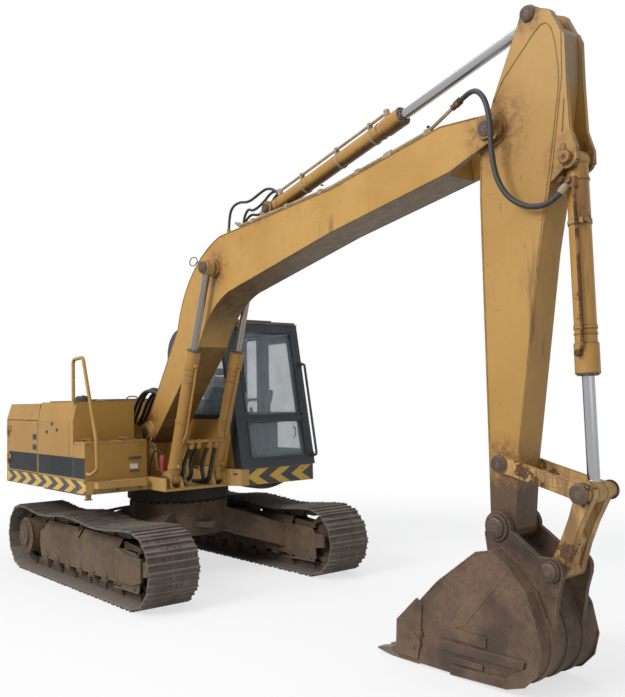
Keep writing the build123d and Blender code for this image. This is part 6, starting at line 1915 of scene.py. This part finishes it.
    def bucket_details(self) -> None:
        """Adds side pads, cutter bolts, adapters, wear straps and weld seams on the bucket."""
        pads, rough = Form(), random.Random(17)
        for side in (-1, 1):
            face = BOOM_Y + side * self.bucket_half
            for outline in (((4.271, 0.309), (4.547, 0.302), (4.545, 0.239), (4.262, 0.246)),
                            ((4.135, 0.216), (4.837, 0.222), (4.822, 0.169), (4.163, 0.156)),
                            ((4.278, 0.126), (4.52, 0.129), (4.514, 0.094), (4.275, 0.09))):
                pads.plate(rounded(outline, 0.006, 3), face - side * 0.002, face + side * 0.014)
            pads.seam([(4.733, 0.748), (4.372, 0.351), (4.271, 0.309)], face + side * 0.001, 0.005, rough)
            y = face + side * 0.016
            pads.plate([(3.8, 0.29), (3.845, 0.3), (3.995, 0.16), (3.985, 0.12)], y, y + side * 0.006)
            for x, z in ((3.932, 0.128), (3.99, 0.22)):
                pads.collar((x, y - side * 0.002, z), (0, side, 0), 0.01, 0.022, 0.008)
                pads.bolt((x, y, z), (0, side, 0), 0.013)
            for line in (((4.473, 0.822), (4.594, 0.848), (4.729, 0.762), (4.852, 0.625), (4.905, 0.49)),
                         ((3.8, 0.262), (4.143, 0.585), (4.473, 0.82))):
                pads.seam(line, face, 0.006, rough)
            line = ((4.5, 0.828), (4.594, 0.848), (4.729, 0.762), (4.88, 0.56))
            for near in (0.137, 0.173):
                pads.seam(line, BOOM_Y + side * near, 0.008, rough)
            pads.turned((4.625, BOOM_Y + side * 0.1705, 0.868), (0, side, 0),
                        [(0, 0.03), (0.004, 0.03), (0.004, 0.02)], 20)
        pads.piece("bucket_pads_and_welds", "bucket", Finish.BUCKET, bevel=0.001)
        straps = Form()
        heel = arc((4.905, 0.49), (4.95, 0.3), (4.815, 0.078), 12)
        line = [(4.852, 0.625), *heel, (4.7, 0.036), (4.485, 0.019)]
        for y in (BOOM_Y - 0.165, BOOM_Y, BOOM_Y + 0.165):
            ring = []
            for i, (x, z) in enumerate(line):
                before, after = line[max(i - 1, 0)], line[min(i + 1, len(line) - 1)]
                d = Vector((after[0] - before[0], after[1] - before[1])).normalized()
                thick = 0.01 if z > 0.05 else 0.0035
                corners = ((0.002, -0.038), (0.002, 0.038), (-thick, 0.036), (-thick, -0.036))
                ring.append([(x + d.y * lift, y + dy, z - d.x * lift) for lift, dy in corners])
            straps.loft(ring)
        straps.piece("bucket_wear_straps", "bucket", Finish.BUCKET, bevel=0.0015)
        noses, pitch = Form(), (0.59 - 0.08) / 4
        for k in range(5):
            y = BOOM_Y - 0.255 + k * pitch
            top = [(3.705, 0.074), (3.77, 0.082), (3.86, 0.066), (3.955, 0.044), (3.955, 0.036),
                   (3.705, 0.036)]
            rings = [[(x, y + dy * (0.8 if x > 3.9 else 1.0), z) for x, z in top]
                     for dy in (-0.04, -0.034, 0.034, 0.04)]
            noses.loft(rings)
            for side in (-1, 1):
                noses.turned((3.735, y + side * 0.036, 0.045), (0, side, 0),
                             [(0, 0.013), (0.008, 0.013), (0.01, 0.009)], 14)
                noses.bead((3.77, y + side * 0.041, 0.042), (3.955, y + side * 0.034, 0.04), 0.004, rough)
        noses.piece("tooth_adapters", "bucket", Finish.BUCKET, bevel=0.003)

    def link_details(self) -> None:
        """Adds boss rings on the rockers and the link."""
        rockers, link = Form(), Form()
        for side in (-1, 1):
            y = BOOM_Y + side * 0.141
            rockers.hoop((LINK_TOP[0], y, LINK_TOP[1]), ACROSS, 0.05, 0.004)
            rockers.collar((ROCKER[0], y - side * 0.001, ROCKER[1]), (0, side, 0), 0.037, 0.056, 0.006)
            for x, z in (LINK_TOP, LINK_LOW):
                link.hoop((x, BOOM_Y + side * 0.108, z), ACROSS, 0.058, 0.003)
        rockers.piece("rocker_rings", "rocker_links", Finish.WORN)
        link.piece("link_rings", "bucket_link", Finish.WORN)

    def build(self) -> None:
        """Dresses the front end and adds its fittings."""
        dress(["boom"], Finish.BOOM)
        dress(["boom_lines"], Finish.LINE)
        dress(["stick"], Finish.STICK)
        dress(["boom_barrels", "stick_barrel", "bucket_barrel"], Finish.BARREL)
        dress(["rocker_links", "bucket_link"], Finish.WORN)
        dress(["boom_rods"], Finish.BOOM_ROD)
        dress(["stick_rod"], Finish.STICK_ROD)
        dress(["bucket_rod"], Finish.BUCKET_ROD)
        dress(["bucket"], Finish.BUCKET)
        dress(["bucket_teeth"], Finish.BRIGHT)
        self.hose()
        self.seams()
        self.pin_ends()
        self.cylinders()
        self.link_details()
        self.bucket_details()


# Studio


@dataclass
class Studio:
    """Camera, lamps and floor."""

    place: Triple = (7.947, -4.632, 1.831)
    yaw: float = 140.47
    pitch: float = 2.839
    roll: float = -1.105
    lens: float = 42.83
    shift: float = 0.0107
    floor_half: float = 60.0

    def camera(self) -> None:
        """Makes the camera at the photograph's angle."""
        yaw, pitch, roll = (radians(v) for v in (self.yaw, self.pitch, self.roll))
        ahead = Vector((cos(yaw) * cos(pitch), sin(yaw) * cos(pitch), sin(pitch)))
        level = Vector((sin(yaw), -cos(yaw), 0))
        above = level.cross(ahead)
        right = level * cos(roll) + above * sin(roll)
        up = above * cos(roll) - level * sin(roll)
        data = bpy.data.cameras.new("camera")
        data.sensor_width, data.lens, data.shift_y = 36.0, self.lens, self.shift
        data.clip_start, data.clip_end = 0.1, 200.0
        camera = bpy.data.objects.new("camera", data)
        turn = Matrix((right, up, -ahead)).transposed().to_4x4()
        camera.matrix_world = Matrix.Translation(self.place) @ turn
        bpy.context.scene.collection.objects.link(camera)
        bpy.context.scene.camera = camera

    def lamp(self, name: str, place: Point, aim: Point, size: float, power: float) -> None:
        """Adds a soft square lamp."""
        data = bpy.data.lights.new(name, "AREA")
        data.size, data.energy = size, power
        item = bpy.data.objects.new(name, data)
        item.location = place
        item.rotation_mode = "QUATERNION"
        item.rotation_quaternion = (Vector(aim) - Vector(place)).to_track_quat("-Z", "Y")
        bpy.context.scene.collection.objects.link(item)

    def seen(self, n: Tree) -> Socket:
        """Returns 1 for rays from the camera, off gloss and through glass, and 0 for all others."""
        ray = n.add("LightPath").outputs
        return n.math("MAXIMUM", ray["Is Camera Ray"],
                      n.math("MAXIMUM", ray["Is Glossy Ray"], ray["Is Transmission Ray"]))

    def world(self) -> None:
        """Lights the scene like an overcast sky and shows white behind it."""
        world = bpy.data.worlds.new("studio")
        world.use_nodes = True
        bpy.context.scene.world = world
        n = Tree(world.node_tree)
        seen = self.seen(n)
        up = n.split(n.add("TexCoord").outputs["Generated"])[2]
        sky = n.plus(n.times(n.step(up, 0.0, 0.9), 0.6), 0.1)
        soft = n.add("Background", {"Color": (0.95, 0.97, 1.0), "Strength": sky})
        white = n.add("Background", {"Color": (1.0, 1.0, 1.0), "Strength": 1.0})
        mixed = n.add("MixShader", {0: seen, 1: soft.outputs[0], 2: white.outputs[0]})
        n.add("OutputWorld", {"Surface": mixed.outputs[0]})

    def floor(self) -> None:
        """Adds the pale floor."""
        form = Form()
        form.block((-self.floor_half, -self.floor_half, -0.02), (self.floor_half, self.floor_half, 0.0))
        item = form.item("floor")
        material, n = new_material("floor_white")
        plain = n.add("BsdfDiffuse", {"Color": (0.72, 0.72, 0.72)})
        white = n.add("Emission", {"Color": (1.0, 1.0, 1.0), "Strength": 1.0})
        away = n.measure("DISTANCE", n.place(), (1.5, 0.0, 0.0))
        share = n.plus(n.times(n.step(away, 4.0, 9.0), 0.32), 0.68)
        share = n.times(self.seen(n), share)
        mixed = n.add("MixShader", {0: share, 1: plain.outputs[0], 2: white.outputs[0]})
        n.add("OutputMaterial", {"Surface": mixed.outputs[0]})
        item.data.materials.append(material)

    def build(self) -> None:
        """Sets up camera, lamps, world and floor."""
        self.camera()
        self.lamp("key", (2.0, -12.0, 9.0), (1.5, 0, 1.8), 6.0, 1450)
        self.lamp("front", (12.0, -3.0, 5.0), (1.5, 0, 1.2), 7.0, 120)
        self.lamp("top", (0.0, -2.0, 14.0), (1.5, 0, 0), 9.0, 480)
        self.lamp("back", (-4.0, 9.0, 8.0), (1.0, 0, 1.5), 7.0, 220)
        self.world()
        self.floor()
        bpy.context.scene.view_settings.view_transform = "Standard"


def main() -> None:
    """Loads the frame, sets up the studio and builds every sub-assembly."""
    logging.basicConfig(level=logging.INFO, format="%(message)s")
    FRAME.update(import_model())
    Studio().build()
    for part in (Undercarriage(), House(), Cab(), FrontEnd()):
        part.build()


if __name__ == "__main__":
    main()
